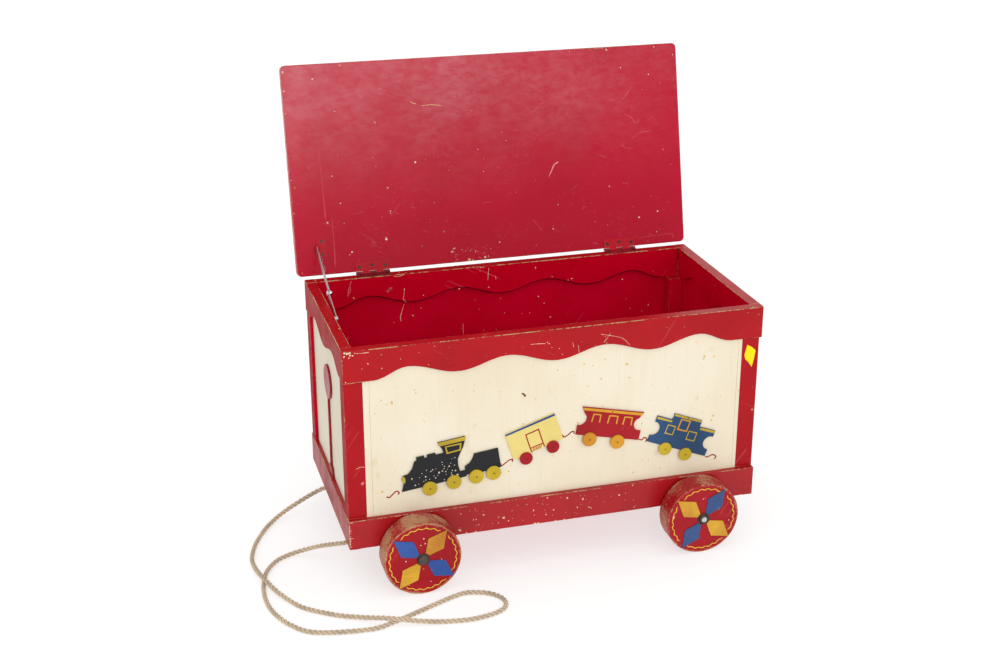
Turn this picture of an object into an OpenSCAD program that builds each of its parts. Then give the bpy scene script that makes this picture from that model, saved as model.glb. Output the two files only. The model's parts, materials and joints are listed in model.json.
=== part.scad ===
// Toy chest on four wheels, in the form of a railway wagon with a pull rope.
// A frame-and-panel wooden box with a hinged lid, a folding lid stay and a train on its front.
// The lid is drawn open, leaning back on its stay. +X is the right end, +Y the back, +Z up.
// The origin is on the floor, in the middle of everything but the rope.

/* [Chest] */
// Length over the top rails
chest_l = 748; // [700:1:750]
// Depth over the top rails
chest_d = 365; // [340:1:400]
// Height of the top rails' upper edge above the floor
rail_top = 442; // [420:1:470]
// Thickness of the rail and base boards
board_t = 19; // [16:1:22]
// Height of a top rail at its ends
rail_h = 57; // [50:1:65]
// Height of the waves cut into a rail's lower edge
wave_h = 19; // [10:1:24]
// Distance from crest to crest of the waves
wave_pitch = 173; // [165:1:176]
// Length of the last slope of the waves, at each end
wave_ramp = 60; // [50:1:66]
// How far the front rail's waves lie to the left of its middle
wave_left = 4.5; // [0:0.5:8]
// Width of a corner post's broad face, at the front and back
post_w = 38.5; // [30:0.5:42]
// Depth of a corner post, along the ends
post_d = 30; // [26:1:34]
// How far the posts stand in from the rails at the left end
post_in_left = 1; // [1:1:6]
// How far the posts stand in from the rails at the right end
post_in_right = 3; // [1:1:6]
// How far the posts stand in from the rails at the front and back
post_in_side = 5; // [2:1:6]
// Thickness of the panels
panel_t = 5; // [4:0.5:6]
// Depth of an end panel's face behind the face of the posts
end_panel_in = 6.5; // [3:0.5:7]
// Depth of a front or back panel's face behind the face of the posts
side_panel_in = 0; // [0:0.5:5]
// Depth of the grooves that hold the panels in the posts
groove_d = 6; // [4:1:8]

/* [Base] */
// Height of the base's lower edge above the floor
base_z = 79; // [78:1:84]
// Height of the base boards
base_h = 54; // [45:1:60]
// How far the base stands out in front of the rails
base_out_front = 4.5; // [3:0.5:6]
// How far the base stands out behind the rails
base_out_back = 0.5; // [0:0.5:4]
// How far the base stands in from the rails at the left end
base_in_left = 0; // [0:0.5:3]
// How far the base stands in from the rails at the right end
base_in_right = 3; // [0:0.5:3]
// Number of fingers and slots, counted together, in a corner joint of the base
finger_count = 9; // [5:2:11]
// Thickness of the floor board
floor_t = 9; // [6:1:12]

/* [Wheels] */
// Diameter of a wheel
wheel_d = 136; // [134:1:138]
// Width of a wheel
wheel_w = 42; // [36:1:46]
// Gap between a wheel and the base
wheel_gap = 3; // [2:0.5:6]
// Distance of the wheel centres from the chest's ends
wheel_in = 117; // [100:1:130]
// Diameter of the axle rods
axle_d = 9.5; // [8:0.5:10]
// Radius of a hub cap
cap_r = 11; // [9:0.5:11.5]
// Height of a hub cap
cap_h = 6.5; // [5:0.5:8]
// Thickness of the diamonds on the wheels
diamond_t = 1.5; // [1:0.5:2]

/* [Lid] */
// Length of the lid
lid_l = 762; // [762:1:800]
// Depth of the lid
lid_d = 383; // [375:1:400]
// Thickness of the lid
lid_t = 19; // [16:1:22]
// Radius of the lid's corners
lid_corner_r = 9; // [4:1:14]
// How far the lid's middle is to the right of the chest's middle
lid_shift = -4; // [-5:1:5]
// Angle that the open lid leans back past upright
lid_lean = 12.8; // [8:0.1:15]

/* [Hinges] */
// Length of a hinge
hinge_l = 63.5; // [60:0.5:66]
// Width of one leaf, measured from the pin
leaf_w = 20; // [18:0.5:20]
// Thickness of a leaf
leaf_t = 1.6; // [1.4:0.1:1.8]
// Radius of the knuckles
knuckle_r = 2.75; // [2.5:0.05:2.8]
// Diameter of a hinge pin
hinge_pin_d = 2.5; // [2:0.1:3]
// Distance of the left hinge's middle from the chest's left end
hinge_in_left = 129; // [100:1:160]
// Distance of the right hinge's middle from the chest's right end
hinge_in_right = 133; // [100:1:160]

/* [Stay] */
// Length of the lower arm, between pivots
stay_lower_l = 75; // [65:1:85]
// How much longer the two arms together are than the straight way between their pivots
stay_slack = 0.1; // [0.1:0.1:2]
// Width of an arm
arm_w = 11; // [9:1:12]
// Thickness of an arm
arm_t = 1.6; // [1.2:0.1:1.8]
// Lower pivot, forward from the chest's back
stay_foot_in = 182; // [175:1:190]
// Lower pivot, below the rail's upper edge
stay_foot_down = 12; // [10:1:14]
// Upper pivot, up the lid from the hinge pin
stay_head_up = 53; // [52:1:54]
// Upper pivot, in front of the lid's inner face
stay_head_out = 7.5; // [7:0.5:8]

/* [Train] */
// Thickness of the train's bodies
car_t = 3; // [2:0.5:3]
// Thickness of the train's wheels
car_wheel_t = 3; // [2:0.5:3]

/* [Rope] */
// Diameter of the pull rope
rope_d = 8; // [6:1:8]
// Diameter of the holes that the rope goes through
rope_hole_d = 10; // [9:0.5:12]

/* [Hidden] */
$fn = 48;

// Running clearance of a shaft, on the radius
fit = 0.05;
// Clearance between plates that slide past each other
slip = 0.3;

// Hinge pin, seen along X, with the chest's front at y = 0
half_leaf_gap = 0.1;
pin_up = leaf_t + half_leaf_gap;
pin_back = 2.5;
lid_edge_gap = 2.5;

// Reach of the whole object in front of and behind the chest's front
cap_gap = 0.5;
front_reach = base_out_front + wheel_gap + wheel_w + cap_gap + cap_h;
back_reach = chest_d + pin_back + (pin_up + lid_t) * cos(lid_lean)
    + (lid_edge_gap + lid_d) * sin(lid_lean);

// Outer faces of the top rails
x0 = -chest_l / 2 - lid_shift;
x1 = x0 + chest_l;
y0 = -(back_reach - front_reach) / 2;
y1 = y0 + chest_d;

// Base boards
base_top = base_z + base_h;
base_x0 = x0 + base_in_left;
base_x1 = x1 - base_in_right;
base_y0 = y0 - base_out_front;
base_y1 = y1 + base_out_back;
finger_h = base_h / finger_count;

// Posts and panels
rail_bottom = rail_top - rail_h;
post_x0 = x0 + post_in_left;
post_x1 = x1 - post_in_right - post_w;
post_y0 = y0 + post_in_side;
post_y1 = y1 - post_in_side - post_d;
panel_top = rail_bottom + wave_h + 8;
end_panel_x0 = post_x0 + end_panel_in;
end_panel_x1 = x1 - post_in_right - end_panel_in - panel_t;
side_panel_y0 = post_y0 + side_panel_in;
side_panel_y1 = y1 - post_in_side - side_panel_in - panel_t;
panel_x0 = post_x0 + post_w - groove_d;
panel_x1 = post_x1 + groove_d;
panel_y0 = post_y0 + post_d - groove_d;
panel_y1 = post_y1 + groove_d;
wave_steps = 64;

// Running gear
axle_z = wheel_d / 2;
wheel_front_y = base_y0 - wheel_gap - wheel_w;
wheel_back_y = base_y1 + wheel_gap;
axle_x_left = x0 + wheel_in;
axle_x_right = x1 - wheel_in;
block_w = 38;
block_z = 46;
axle_tip = 5;
spacer_r = 9;
wheel_chamfer = 2.5;
diamond_inner = 12;
diamond_outer = 64;
diamond_middle = 34.5;
diamond_half_w = 17;
diamond_waist = 4;
diamond_turn = 50;

// Hinges
knuckles = 5;
knuckle_gap = 0.3;
knuckle_l = (hinge_l - (knuckles - 1) * knuckle_gap) / knuckles;
hinge_pin_y = y1 + pin_back;
hinge_pin_z = rail_top + pin_up;
hinge_xs = [x0 + hinge_in_left, x1 - hinge_in_right];
// Screw places on a leaf: along the hinge, and out from the pin
leaf_screws = [[-24.5, 11], [0, 13], [24.5, 11]];
screw_head_r = 3.4;
screw_shank_r = 1.6;
screw_l = 14;

// Lid stay: distances from the chest's left outer face, along X
lower_arm_x = x0 + 24.6;
upper_arm_x = lower_arm_x + arm_t + slip;
head_plate_x = upper_arm_x + arm_t + slip;
stay_pin_r = 2.5;
rivet_r = 5.5;
// Pivots of the stay as [y, z]
foot = [y1 - stay_foot_in, rail_top - stay_foot_down];
head_out = stay_head_out - pin_up;
head = [
    hinge_pin_y - head_out * cos(lid_lean) + stay_head_up * sin(lid_lean),
    hinge_pin_z + head_out * sin(lid_lean) + stay_head_up * cos(lid_lean)
];
// The point that is a from p and b from q, on the lower side of the line between them
function joint_below(p, q, a, b) =
    let (
        gap = norm(q - p),
        along = (a * a - b * b + gap * gap) / (2 * gap),
        down = sqrt(a * a - along * along),
        unit = (q - p) / gap
    )
    p + along * unit + down * [unit.y, -unit.x];
stay_upper_l = norm(head - foot) + stay_slack - stay_lower_l;
elbow = joint_below(foot, head, stay_lower_l, stay_upper_l);
lower_arm_turn = atan2(elbow.y - foot.y, elbow.x - foot.x);
upper_arm_turn = atan2(elbow.y - head.y, elbow.x - head.x);

// Train on the front panel: each car's origin from the chest's front left corner, and its tilt
engine_at = [143, 174];
engine_tilt = 7;
boxcar_at = [293, 206.5];
boxcar_tilt = 18;
coach_at = [405, 240];
coach_tilt = -12.5;
caboose_at = [540, 208.5];
caboose_tilt = -21.5;
engine_wheels = [[0, 0, 13], [43, 1, 13], [83, 1, 13], [114, 0, 13]];
boxcar_wheels = [[21, -6, 11.5], [72, -6, 11.5]];
coach_wheels = [[27, -6, 13], [80, -6, 13]];
caboose_wheels = [[37, -4.5, 12], [79, -5, 12]];
nail_r = 0.7;
nail_head_r = 1.4;
nail_head_t = 0.4;

// Rope route, from the chest's front left corner at the floor: front end first
rope_route = [
    [137, 78, 56], [98, 78, 56], [50, 80, 53], [9, 87, 44], [-32, 121, 25], [-70, 141, 8],
    [-104, 130, 4], [-130, 96, 4], [-142, 56, 4], [-147, 12, 4], [-141, -40, 4],
    [-118, -91, 4], [-80, -125, 4], [5, -140, 4], [48, -129, 4], [97, -108, 4],
    [172, -76, 4], [203, -77, 4], [228, -90, 4], [242, -112, 4], [238, -135, 4],
    [215, -150, 4], [171, -157, 4], [121, -150, 5], [80, -142, 9], [40, -129, 13],
    [0, -106, 8], [-48, -76, 4], [-90, -42, 4], [-122, 8, 8], [-141, 54, 13],
    [-150, 105, 7], [-150, 150, 4], [-133, 206, 4], [-97, 270, 5], [-50, 303, 17],
    [6, 299, 46], [50, 291, 54], [98, 288, 56], [137, 288, 56]
];
rope_hole_ys = [78, 288];
rope_hole_z = 56;
rope_steps = 2;
rope_sides = 8;

red = [0.70, 0.11, 0.14];
cream = [0.93, 0.89, 0.78];
yellow = [0.87, 0.69, 0.22];
blue = [0.20, 0.34, 0.58];
black = [0.16, 0.17, 0.19];
straw = [0.92, 0.85, 0.52];
steel = [0.66, 0.70, 0.69];
dark_steel = [0.34, 0.33, 0.31];
raw_wood = [0.76, 0.62, 0.44];
tan = [0.74, 0.65, 0.54];

// ---- shared shapes ----

// A box between two corners
module slab(low, high) {
    translate(low) cube(high - low);
}

// Height of the wave at a distance from the rail's middle, with the outer crest at crest
function wave_at(s, crest) =
    s <= crest ? wave_h * (1 + cos(360 * (s - crest) / wave_pitch)) / 2
    : s <= crest + wave_ramp ? wave_h * (1 + cos(180 * (s - crest) / wave_ramp)) / 2
    : 0;

// Outline of a rail from end to end, with crests waves along its lower edge
module rail_outline(from, to, middle, crests) {
    crest = (crests - 1) * wave_pitch / 2;
    reach = crest + wave_ramp;
    polygon(concat(
        [[from, rail_top], [from, rail_bottom]],
        [for (i = [0:wave_steps]) let (s = -reach + 2 * reach * i / wave_steps)
            [middle + s, rail_bottom + wave_at(abs(s), crest)]],
        [[to, rail_bottom], [to, rail_top]]
    ));
}

// A rail along X, with a groove for its panel
module long_rail(y, groove_y, middle) {
    difference() {
        translate([0, y + board_t, 0]) rotate([90, 0, 0]) linear_extrude(board_t)
            rail_outline(x0 + board_t, x1 - board_t, middle, 4);
        slab([panel_x0, groove_y, rail_bottom - 1], [panel_x1, groove_y + panel_t, panel_top]);
    }
}

// A rail along Y, with a groove for its panel
module end_rail(x, groove_x) {
    difference() {
        translate([x, 0, 0]) rotate([90, 0, 90]) linear_extrude(board_t)
            rail_outline(y0, y1, (y0 + y1) / 2, 2);
        slab([groove_x, panel_y0, rail_bottom - 1], [groove_x + panel_t, panel_y1, panel_top]);
    }
}

// A post with a groove for the side panel and one for the end panel
module post(x, y, side_panel_x, side_panel_y, end_panel_x, end_panel_y) {
    difference() {
        slab([x, y, base_top], [x + post_w, y + post_d, rail_bottom]);
        slab([side_panel_x, side_panel_y, base_top - 1],
            [side_panel_x + groove_d, side_panel_y + panel_t, rail_bottom + 1]);
        slab([end_panel_x, end_panel_y, base_top - 1],
            [end_panel_x + panel_t, end_panel_y + groove_d, rail_bottom + 1]);
    }
}

// A base board with its fingers cut at both ends: skip is 0 or 1, the first level left out
module fingers_cut(low, high, along_x, skip) {
    difference() {
        slab(low, high);
        for (level = [skip:2:finger_count - 1], end = [0, 1]) {
            at = base_z + level * finger_h;
            if (along_x) {
                x = end == 0 ? low.x - 1 : high.x - board_t;
                slab([x, low.y - 1, at], [x + board_t + 1, high.y + 1, at + finger_h]);
            } else {
                y = end == 0 ? low.y - 1 : high.y - board_t;
                slab([low.x - 1, y, at], [high.x + 1, y + board_t + 1, at + finger_h]);
            }
        }
    }
}

// A cylinder along Y, from y to y + length
module rod_y(x, y, z, r, length) {
    translate([x, y + length, z]) rotate([90, 0, 0]) cylinder(r = r, h = length);
}

// A cylinder along X, from x to x + length, at a [y, z] point
module rod_x(x, at, r, length) {
    translate([x, at.x, at.y]) rotate([0, 90, 0]) cylinder(r = r, h = length);
}

// ---- chest ----

module rail_front() {
    color(red) long_rail(y0, side_panel_y0, (x0 + x1) / 2 - wave_left);
}

module rail_back() {
    color(red) long_rail(y1 - board_t, side_panel_y1, (x0 + x1) / 2);
}

module rail_left() {
    color(red) end_rail(x0, end_panel_x0);
}

module rail_right() {
    color(red) end_rail(x1 - board_t, end_panel_x1);
}

module post_front_left() {
    color(red) post(post_x0, post_y0, panel_x0, side_panel_y0, end_panel_x0, panel_y0);
}

module post_front_right() {
    color(red) post(post_x1, post_y0, post_x1, side_panel_y0, end_panel_x1, panel_y0);
}

module post_back_left() {
    color(red) post(post_x0, post_y1, panel_x0, side_panel_y1, end_panel_x0, post_y1);
}

module post_back_right() {
    color(red) post(post_x1, post_y1, post_x1, side_panel_y1, end_panel_x1, post_y1);
}

module side_panel(y) {
    color(cream) slab([panel_x0, y, base_top], [panel_x1, y + panel_t, panel_top]);
}

module panel_front() {
    side_panel(side_panel_y0);
}

module panel_back() {
    side_panel(side_panel_y1);
}

module end_panel(x) {
    color(cream) slab([x, panel_y0, base_top], [x + panel_t, panel_y1, panel_top]);
}

module panel_left() {
    end_panel(end_panel_x0);
}

module panel_right() {
    end_panel(end_panel_x1);
}

module base_front() {
    color(red) fingers_cut([base_x0, base_y0, base_z],
        [base_x1, base_y0 + board_t, base_top], true, 0);
}

module base_back() {
    color(red) fingers_cut([base_x0, base_y1 - board_t, base_z],
        [base_x1, base_y1, base_top], true, 0);
}

module base_left() {
    color(red) fingers_cut([base_x0, base_y0, base_z],
        [base_x0 + board_t, base_y1, base_top], false, 1);
}

module base_right() {
    color(red) fingers_cut([base_x1 - board_t, base_y0, base_z],
        [base_x1, base_y1, base_top], false, 1);
}

// Lies between the base boards, with its corners cut away under the posts
module floor_board() {
    color(red) difference() {
        slab([base_x0 + board_t, base_y0 + board_t, base_top - floor_t],
            [base_x1 - board_t, base_y1 - board_t, base_top]);
        for (x = [post_x0, post_x1], y = [post_y0, post_y1])
            slab([x, y, base_top - floor_t - 1], [x + post_w, y + post_d, base_top + 1]);
    }
}

// ---- running gear ----

module axle_block(x) {
    difference() {
        slab([x - block_w / 2, base_y0 + board_t, block_z],
            [x + block_w / 2, base_y1 - board_t, base_top - floor_t]);
        rod_y(x, base_y0, axle_z, axle_d / 2, base_y1 - base_y0);
    }
}

module axle_block_left() {
    color(raw_wood) difference() {
        axle_block(axle_x_left);
        for (y = rope_hole_ys)
            rod_x(axle_x_left - block_w, [y0 + y, rope_hole_z], rope_hole_d / 2, 2 * block_w);
    }
}

module axle_block_right() {
    color(raw_wood) axle_block(axle_x_right);
}

module axle(x) {
    start = wheel_front_y - axle_tip;
    color(steel) rod_y(x, start, axle_z, axle_d / 2, wheel_back_y + wheel_w + axle_tip - start);
}

module axle_left() {
    axle(axle_x_left);
}

module axle_right() {
    axle(axle_x_right);
}

module spacer(x, from, to) {
    difference() {
        rod_y(x, from, axle_z, spacer_r, to - from);
        rod_y(x, from - 1, axle_z, axle_d / 2, to - from + 2);
    }
}

module axle_spacers() {
    color(dark_steel) for (x = [axle_x_left, axle_x_right]) {
        spacer(x, wheel_front_y + wheel_w + cap_gap, base_y0 + board_t);
        spacer(x, base_y1 - board_t, wheel_back_y - cap_gap);
    }
}

// A domed cap with a blind hole for the axle's end, its flange at z = 0
module hub_cap() {
    rim = 1.2;
    dome_r = cap_r - 1.5;
    rotate_extrude() polygon(concat(
        [[axle_d / 2, 0], [cap_r, 0], [cap_r, rim]],
        [for (a = [0:10:90]) [dome_r * cos(a), rim + (cap_h - rim) * sin(a)]],
        [[0, axle_tip - cap_gap], [axle_d / 2, axle_tip - cap_gap]]
    ));
}

module hub_caps() {
    color(dark_steel) for (x = [axle_x_left, axle_x_right]) {
        translate([x, wheel_front_y - cap_gap, axle_z]) rotate([90, 0, 0]) hub_cap();
        translate([x, wheel_back_y + wheel_w + cap_gap, axle_z]) rotate([-90, 0, 0]) hub_cap();
    }
}

// A solid wheel around Y, from y to y + wheel_w
module wheel(x, y) {
    r = wheel_d / 2;
    color(red) translate([x, y + wheel_w, axle_z]) rotate([90, 0, 0])
        rotate_extrude($fn = 96) polygon([
            [axle_d / 2 + fit, 0], [r - wheel_chamfer, 0], [r, wheel_chamfer],
            [r, wheel_w - wheel_chamfer], [r - wheel_chamfer, wheel_w],
            [axle_d / 2 + fit, wheel_w]
        ]);
}

module wheel_front_left() {
    wheel(axle_x_left, wheel_front_y);
}

module wheel_front_right() {
    wheel(axle_x_right, wheel_front_y);
}

module wheel_back_left() {
    wheel(axle_x_left, wheel_back_y);
}

module wheel_back_right() {
    wheel(axle_x_right, wheel_back_y);
}

// One thin diamond that points away from the hub, in the plane z = 0
module diamond() {
    linear_extrude(diamond_t) polygon([
        [diamond_inner, -diamond_waist], [diamond_middle, -diamond_half_w],
        [diamond_outer, 0], [diamond_middle, diamond_half_w],
        [diamond_inner, diamond_waist]
    ]);
}

// Four diamonds in two colours on a wheel's outer face
module diamonds(first, second) {
    for (i = [0:3])
        color(i % 2 == 0 ? first : second) rotate(diamond_turn + 90 * i) diamond();
}

module diamonds_front_left() {
    translate([axle_x_left, wheel_front_y, axle_z]) rotate([90, 0, 0]) diamonds(yellow, blue);
}

module diamonds_front_right() {
    translate([axle_x_right, wheel_front_y, axle_z]) rotate([90, 0, 0]) diamonds(blue, yellow);
}

module diamonds_back_left() {
    translate([axle_x_left, wheel_back_y + wheel_w, axle_z])
        rotate([90, 0, 180]) diamonds(blue, yellow);
}

module diamonds_back_right() {
    translate([axle_x_right, wheel_back_y + wheel_w, axle_z])
        rotate([90, 0, 180]) diamonds(yellow, blue);
}

// ---- train ----

// Stands a drawing on the front panel: lift is the distance of its back from the panel
module on_panel(at, tilt, lift = 0) {
    translate([x0 + at.x, side_panel_y0 - lift, at.y]) rotate([90, 0, 0]) rotate(tilt) children();
}

// Engine with its tender, one cutout: x and y start at the first wheel's middle
module train_engine() {
    color(black) on_panel(engine_at, engine_tilt) linear_extrude(car_t) difference() {
        polygon([
            [-48, 5], [-43, 19], [-45, 28], [-42, 34], [-33, 35], [-25, 43], [-19, 56],
            [-15, 56], [-15, 63], [-1, 63], [-1, 58], [4, 58], [4, 63], [19, 63], [19, 59],
            [33, 59], [31, 68], [26, 77], [26, 81], [74, 81], [74, 77], [68, 62], [61, 51],
            [56, 42], [55, 30], [57, 17], [66, 17], [66, 24], [75, 28], [81, 35], [85, 44],
            [128, 44], [129, 7], [58, 5]
        ]);
        translate([67, -2]) square([8, 10]);
    }
}

module train_boxcar() {
    color(straw) on_panel(boxcar_at, boxcar_tilt) linear_extrude(car_t) square([94, 53]);
}

module train_coach() {
    color(red) on_panel(coach_at, coach_tilt) linear_extrude(car_t) difference() {
        polygon([[0, 0], [-1, 18], [6, 18], [14, 30], [1, 53], [118, 53], [105, 30], [112, 18],
            [120, 18], [120, 0]]);
        for (x = [2, 116])
            translate([x, 30]) circle(r = 12);
    }
}

module train_caboose() {
    color(blue) on_panel(caboose_at, caboose_tilt) linear_extrude(car_t) difference() {
        union() {
            translate([-1, 0]) square([120, 51]);
            translate([29, 50]) square([57, 13]);
        }
        for (x = [0, 118])
            translate([x, 26]) circle(r = 13);
        translate([24, 57]) circle(r = 6);
        translate([92, 57]) circle(r = 6);
    }
}

// The wheels of one car, lying on its body
module car_wheels(at, tilt, wheels) {
    on_panel(at, tilt, car_t) for (w = wheels)
        translate([w.x, w.y]) cylinder(r = w.z, h = car_wheel_t);
}

module train_wheels_yellow() {
    color(yellow) {
        car_wheels(engine_at, engine_tilt, engine_wheels);
        car_wheels(coach_at, coach_tilt, coach_wheels);
        car_wheels(caboose_at, caboose_tilt, caboose_wheels);
    }
}

module train_wheels_red() {
    color(red) car_wheels(boxcar_at, boxcar_tilt, boxcar_wheels);
}

// A nail through each wheel and its car, into the panel
module car_nails(at, tilt, wheels) {
    thickness = car_t + car_wheel_t;
    on_panel(at, tilt, -panel_t / 2) for (w = wheels)
        translate([w.x, w.y]) {
            cylinder(r = nail_r, h = panel_t / 2 + thickness + nail_head_t);
            translate([0, 0, panel_t / 2 + thickness]) cylinder(r = nail_head_r, h = nail_head_t);
        }
}

module train_nails() {
    color(dark_steel) {
        car_nails(engine_at, engine_tilt, engine_wheels);
        car_nails(boxcar_at, boxcar_tilt, boxcar_wheels);
        car_nails(coach_at, coach_tilt, coach_wheels);
        car_nails(caboose_at, caboose_tilt, caboose_wheels);
    }
}

// ---- hand brake on the left end ----

brake_x = end_panel_x0;
brake_y = (y0 + y1) / 2;
brake_z = 314.5;
brake_r = 31;
brake_t = 4;
staff_w = 6;
step_h = 18;

module brake_wheel() {
    color(red) rod_x(brake_x - brake_t, [brake_y, brake_z], brake_r, brake_t);
}

module brake_staff() {
    color(red) difference() {
        slab([brake_x - brake_t, brake_y - staff_w / 2, base_top + step_h],
            [brake_x, brake_y + staff_w / 2, brake_z]);
        rod_x(brake_x - brake_t - 1, [brake_y, brake_z], brake_r, brake_t + 2);
    }
}

module brake_step() {
    color(red) translate([brake_x - brake_t, brake_y, base_top]) rotate([90, 0, 90])
        linear_extrude(brake_t) polygon([[-20, 0], [20, 0], [12, step_h], [-12, step_h]]);
}

// ---- hinges ----

// Places a drawing at a hinge pin on the chest, with the pin along X
module at_pin(x = 0) {
    translate([x, hinge_pin_y, hinge_pin_z]) children();
}

// The lid's own frame: origin on the pin, +Z up the lid, +Y out of its back
module on_lid(x = 0) {
    at_pin(x) rotate([-lid_lean, 0, 0]) children();
}

// A leaf that lies along +Z, behind the pin: own is the first of the knuckles it carries
module leaf(own, bore_r) {
    difference() {
        union() {
            slab([-hinge_l / 2, half_leaf_gap, knuckle_r + slip], [hinge_l / 2, pin_up, leaf_w]);
            for (i = [own:2:knuckles - 1]) {
                x = -hinge_l / 2 + i * (knuckle_l + knuckle_gap);
                slab([x, half_leaf_gap, 0], [x + knuckle_l, pin_up, leaf_w / 2]);
                rod_x(x, [0, 0], knuckle_r, knuckle_l);
            }
        }
        rod_x(-hinge_l, [0, 0], bore_r, 2 * hinge_l);
        for (s = leaf_screws)
            translate([s.x, pin_up, s.y]) rotate([90, 0, 0]) screw_head();
    }
}

// Head of a countersunk screw: point at z = 0, flat top at the leaf's face
module screw_head() {
    cylinder(r1 = screw_shank_r, r2 = screw_head_r, h = leaf_t);
}

module screw() {
    screw_head();
    translate([0, 0, -screw_l]) cylinder(r = screw_shank_r, h = screw_l);
}

// Turns a leaf drawn on the lid side into one that lies forward on the rail
module on_rail() {
    rotate([90, 0, 0]) mirror([0, 1, 0]) children();
}

module hinge_leaves_chest() {
    color(dark_steel) for (x = hinge_xs)
        at_pin(x) on_rail() leaf(0, hinge_pin_d / 2);
}

module hinge_leaves_lid() {
    color(red) for (x = hinge_xs)
        on_lid(x) leaf(1, hinge_pin_d / 2 + fit);
}

module hinge_pins() {
    color(steel) for (x = hinge_xs)
        rod_x(x - hinge_l / 2, [hinge_pin_y, hinge_pin_z], hinge_pin_d / 2, hinge_l);
}

// ---- lid ----

module lid_board() {
    r = lid_corner_r;
    color(red) on_lid() translate([0, pin_up + lid_t, 0]) rotate([90, 0, 0])
        linear_extrude(lid_t) union() {
            translate([-lid_l / 2, lid_edge_gap + r]) square([lid_l, lid_d - 2 * r]);
            translate([-lid_l / 2 + r, lid_edge_gap]) square([lid_l - 2 * r, lid_d]);
            for (x = [-1, 1], z = [r, lid_d - r])
                translate([x * (lid_l / 2 - r), lid_edge_gap + z]) circle(r = r);
        }
}

// ---- lid stay ----

// An arm from [y, z] point p, turned by turn, with rounded ends
module arm(x, p, turn, length) {
    translate([x, p.x, p.y]) rotate([90, 0, 90]) rotate(turn) linear_extrude(arm_t) union() {
        translate([0, -arm_w / 2]) square([length, arm_w]);
        circle(d = arm_w);
        translate([length, 0]) circle(d = arm_w);
    }
}

// A low dome that bulges towards +Z from z = 0
module dome(r, h) {
    rotate_extrude() polygon(concat(
        [[0, 0]],
        [for (a = [0:15:90]) [r * cos(a), h * sin(a)]]
    ));
}

foot_plate_t = 1.6;
foot_screws = [[-12, 0], [12, 0]];

module stay_rail_bracket() {
    inner = x0 + board_t;
    color(steel) {
        difference() {
            translate([inner, foot.x, foot.y]) rotate([90, 0, 90])
                linear_extrude(foot_plate_t) union() {
                    translate([-12, -7]) square([24, 14]);
                    for (s = foot_screws)
                        translate([s.x, s.y]) circle(r = 7);
                }
            for (s = foot_screws)
                translate([inner, foot.x + s.x, foot.y + s.y]) rotate([0, 90, 0]) screw_head();
        }
        rod_x(inner + foot_plate_t, foot, stay_pin_r + 2, lower_arm_x - slip - inner - foot_plate_t);
        rod_x(inner, foot, stay_pin_r, lower_arm_x + arm_t + slip - inner);
        rod_x(lower_arm_x + arm_t + slip, foot, stay_pin_r + 2, 1.4);
    }
}

module stay_lower_arm() {
    color(steel) difference() {
        arm(lower_arm_x, foot, lower_arm_turn, stay_lower_l);
        rod_x(lower_arm_x - 1, foot, stay_pin_r + fit, arm_t + 2);
    }
}

// The far half of the middle rivet: a washer and its peened end, fast on the lower arm
module stay_lower_washer() {
    color(steel) translate([lower_arm_x, elbow.x, elbow.y]) rotate([0, -90, 0]) dome(rivet_r, 2.6);
}

module stay_upper_arm() {
    color(steel) difference() {
        arm(upper_arm_x, head, upper_arm_turn, stay_upper_l);
        rod_x(upper_arm_x - 1, head, stay_pin_r + fit, arm_t + 2);
    }
}

// The near half of the middle rivet: its domed head, fast on the upper arm
module stay_rivet() {
    color(steel) translate([upper_arm_x + arm_t, elbow.x, elbow.y]) rotate([0, 90, 0])
        dome(rivet_r, 5);
}

// Thin wavy spring along the upper arm: x is the distance from the upper pivot
spring_from = 24;
spring_to = 70;
spring_t = 0.8;
spring_w = 5;
function spring_rise(u) = 2.4 * (1 - cos(360 * 2 * u)) / 2 + 1.4 * u;

module stay_spring() {
    steps = 24;
    line = [for (i = [0:steps]) let (u = i / steps)
        [spring_from + (spring_to - spring_from) * u, spring_rise(u)]];
    color(steel) translate([upper_arm_x + arm_t, head.x, head.y]) rotate([90, 0, 90])
        rotate(upper_arm_turn) translate([0, spring_w / 2, 0]) rotate([90, 0, 0])
            linear_extrude(spring_w) polygon(concat(
                line,
                [for (i = [steps:-1:0]) line[i] + [0, spring_t]]
            ));
}

// Bracket on the lid: a foot screwed to the lid and an ear that carries the upper pivot
head_foot_l = 34;
head_foot_w = 17.6;
head_screws = [[9.6, -12], [9.6, 12]];

module stay_lid_bracket() {
    color(red) on_lid() {
        difference() {
            slab([head_plate_x, pin_up - 1.6, stay_head_up - head_foot_l / 2],
                [head_plate_x + head_foot_w, pin_up, stay_head_up + head_foot_l / 2]);
            for (s = head_screws)
                translate([head_plate_x + s.x, pin_up, stay_head_up + s.y])
                    rotate([90, 0, 0]) screw_head();
        }
        slab([head_plate_x, -head_out, stay_head_up - 6.5],
            [head_plate_x + arm_t, pin_up - 1.6, stay_head_up + 6.5]);
        rod_x(head_plate_x, [-head_out, stay_head_up], 6.5, arm_t);
        rod_x(upper_arm_x - slip, [-head_out, stay_head_up], stay_pin_r,
            head_plate_x + arm_t - upper_arm_x + slip);
        rod_x(upper_arm_x - slip - 1.2, [-head_out, stay_head_up], stay_pin_r + 2, 1.2);
        translate([head_plate_x + arm_t, -head_out, stay_head_up]) rotate([0, 90, 0]) dome(4.5, 2.4);
    }
}

// ---- screws ----

module chest_screws() {
    color(dark_steel) {
        for (x = hinge_xs, s = leaf_screws)
            at_pin(x) on_rail() translate([s.x, pin_up, s.y]) rotate([90, 0, 0]) screw();
        for (s = foot_screws)
            translate([x0 + board_t, foot.x + s.x, foot.y + s.y]) rotate([0, 90, 0]) screw();
    }
}

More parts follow.
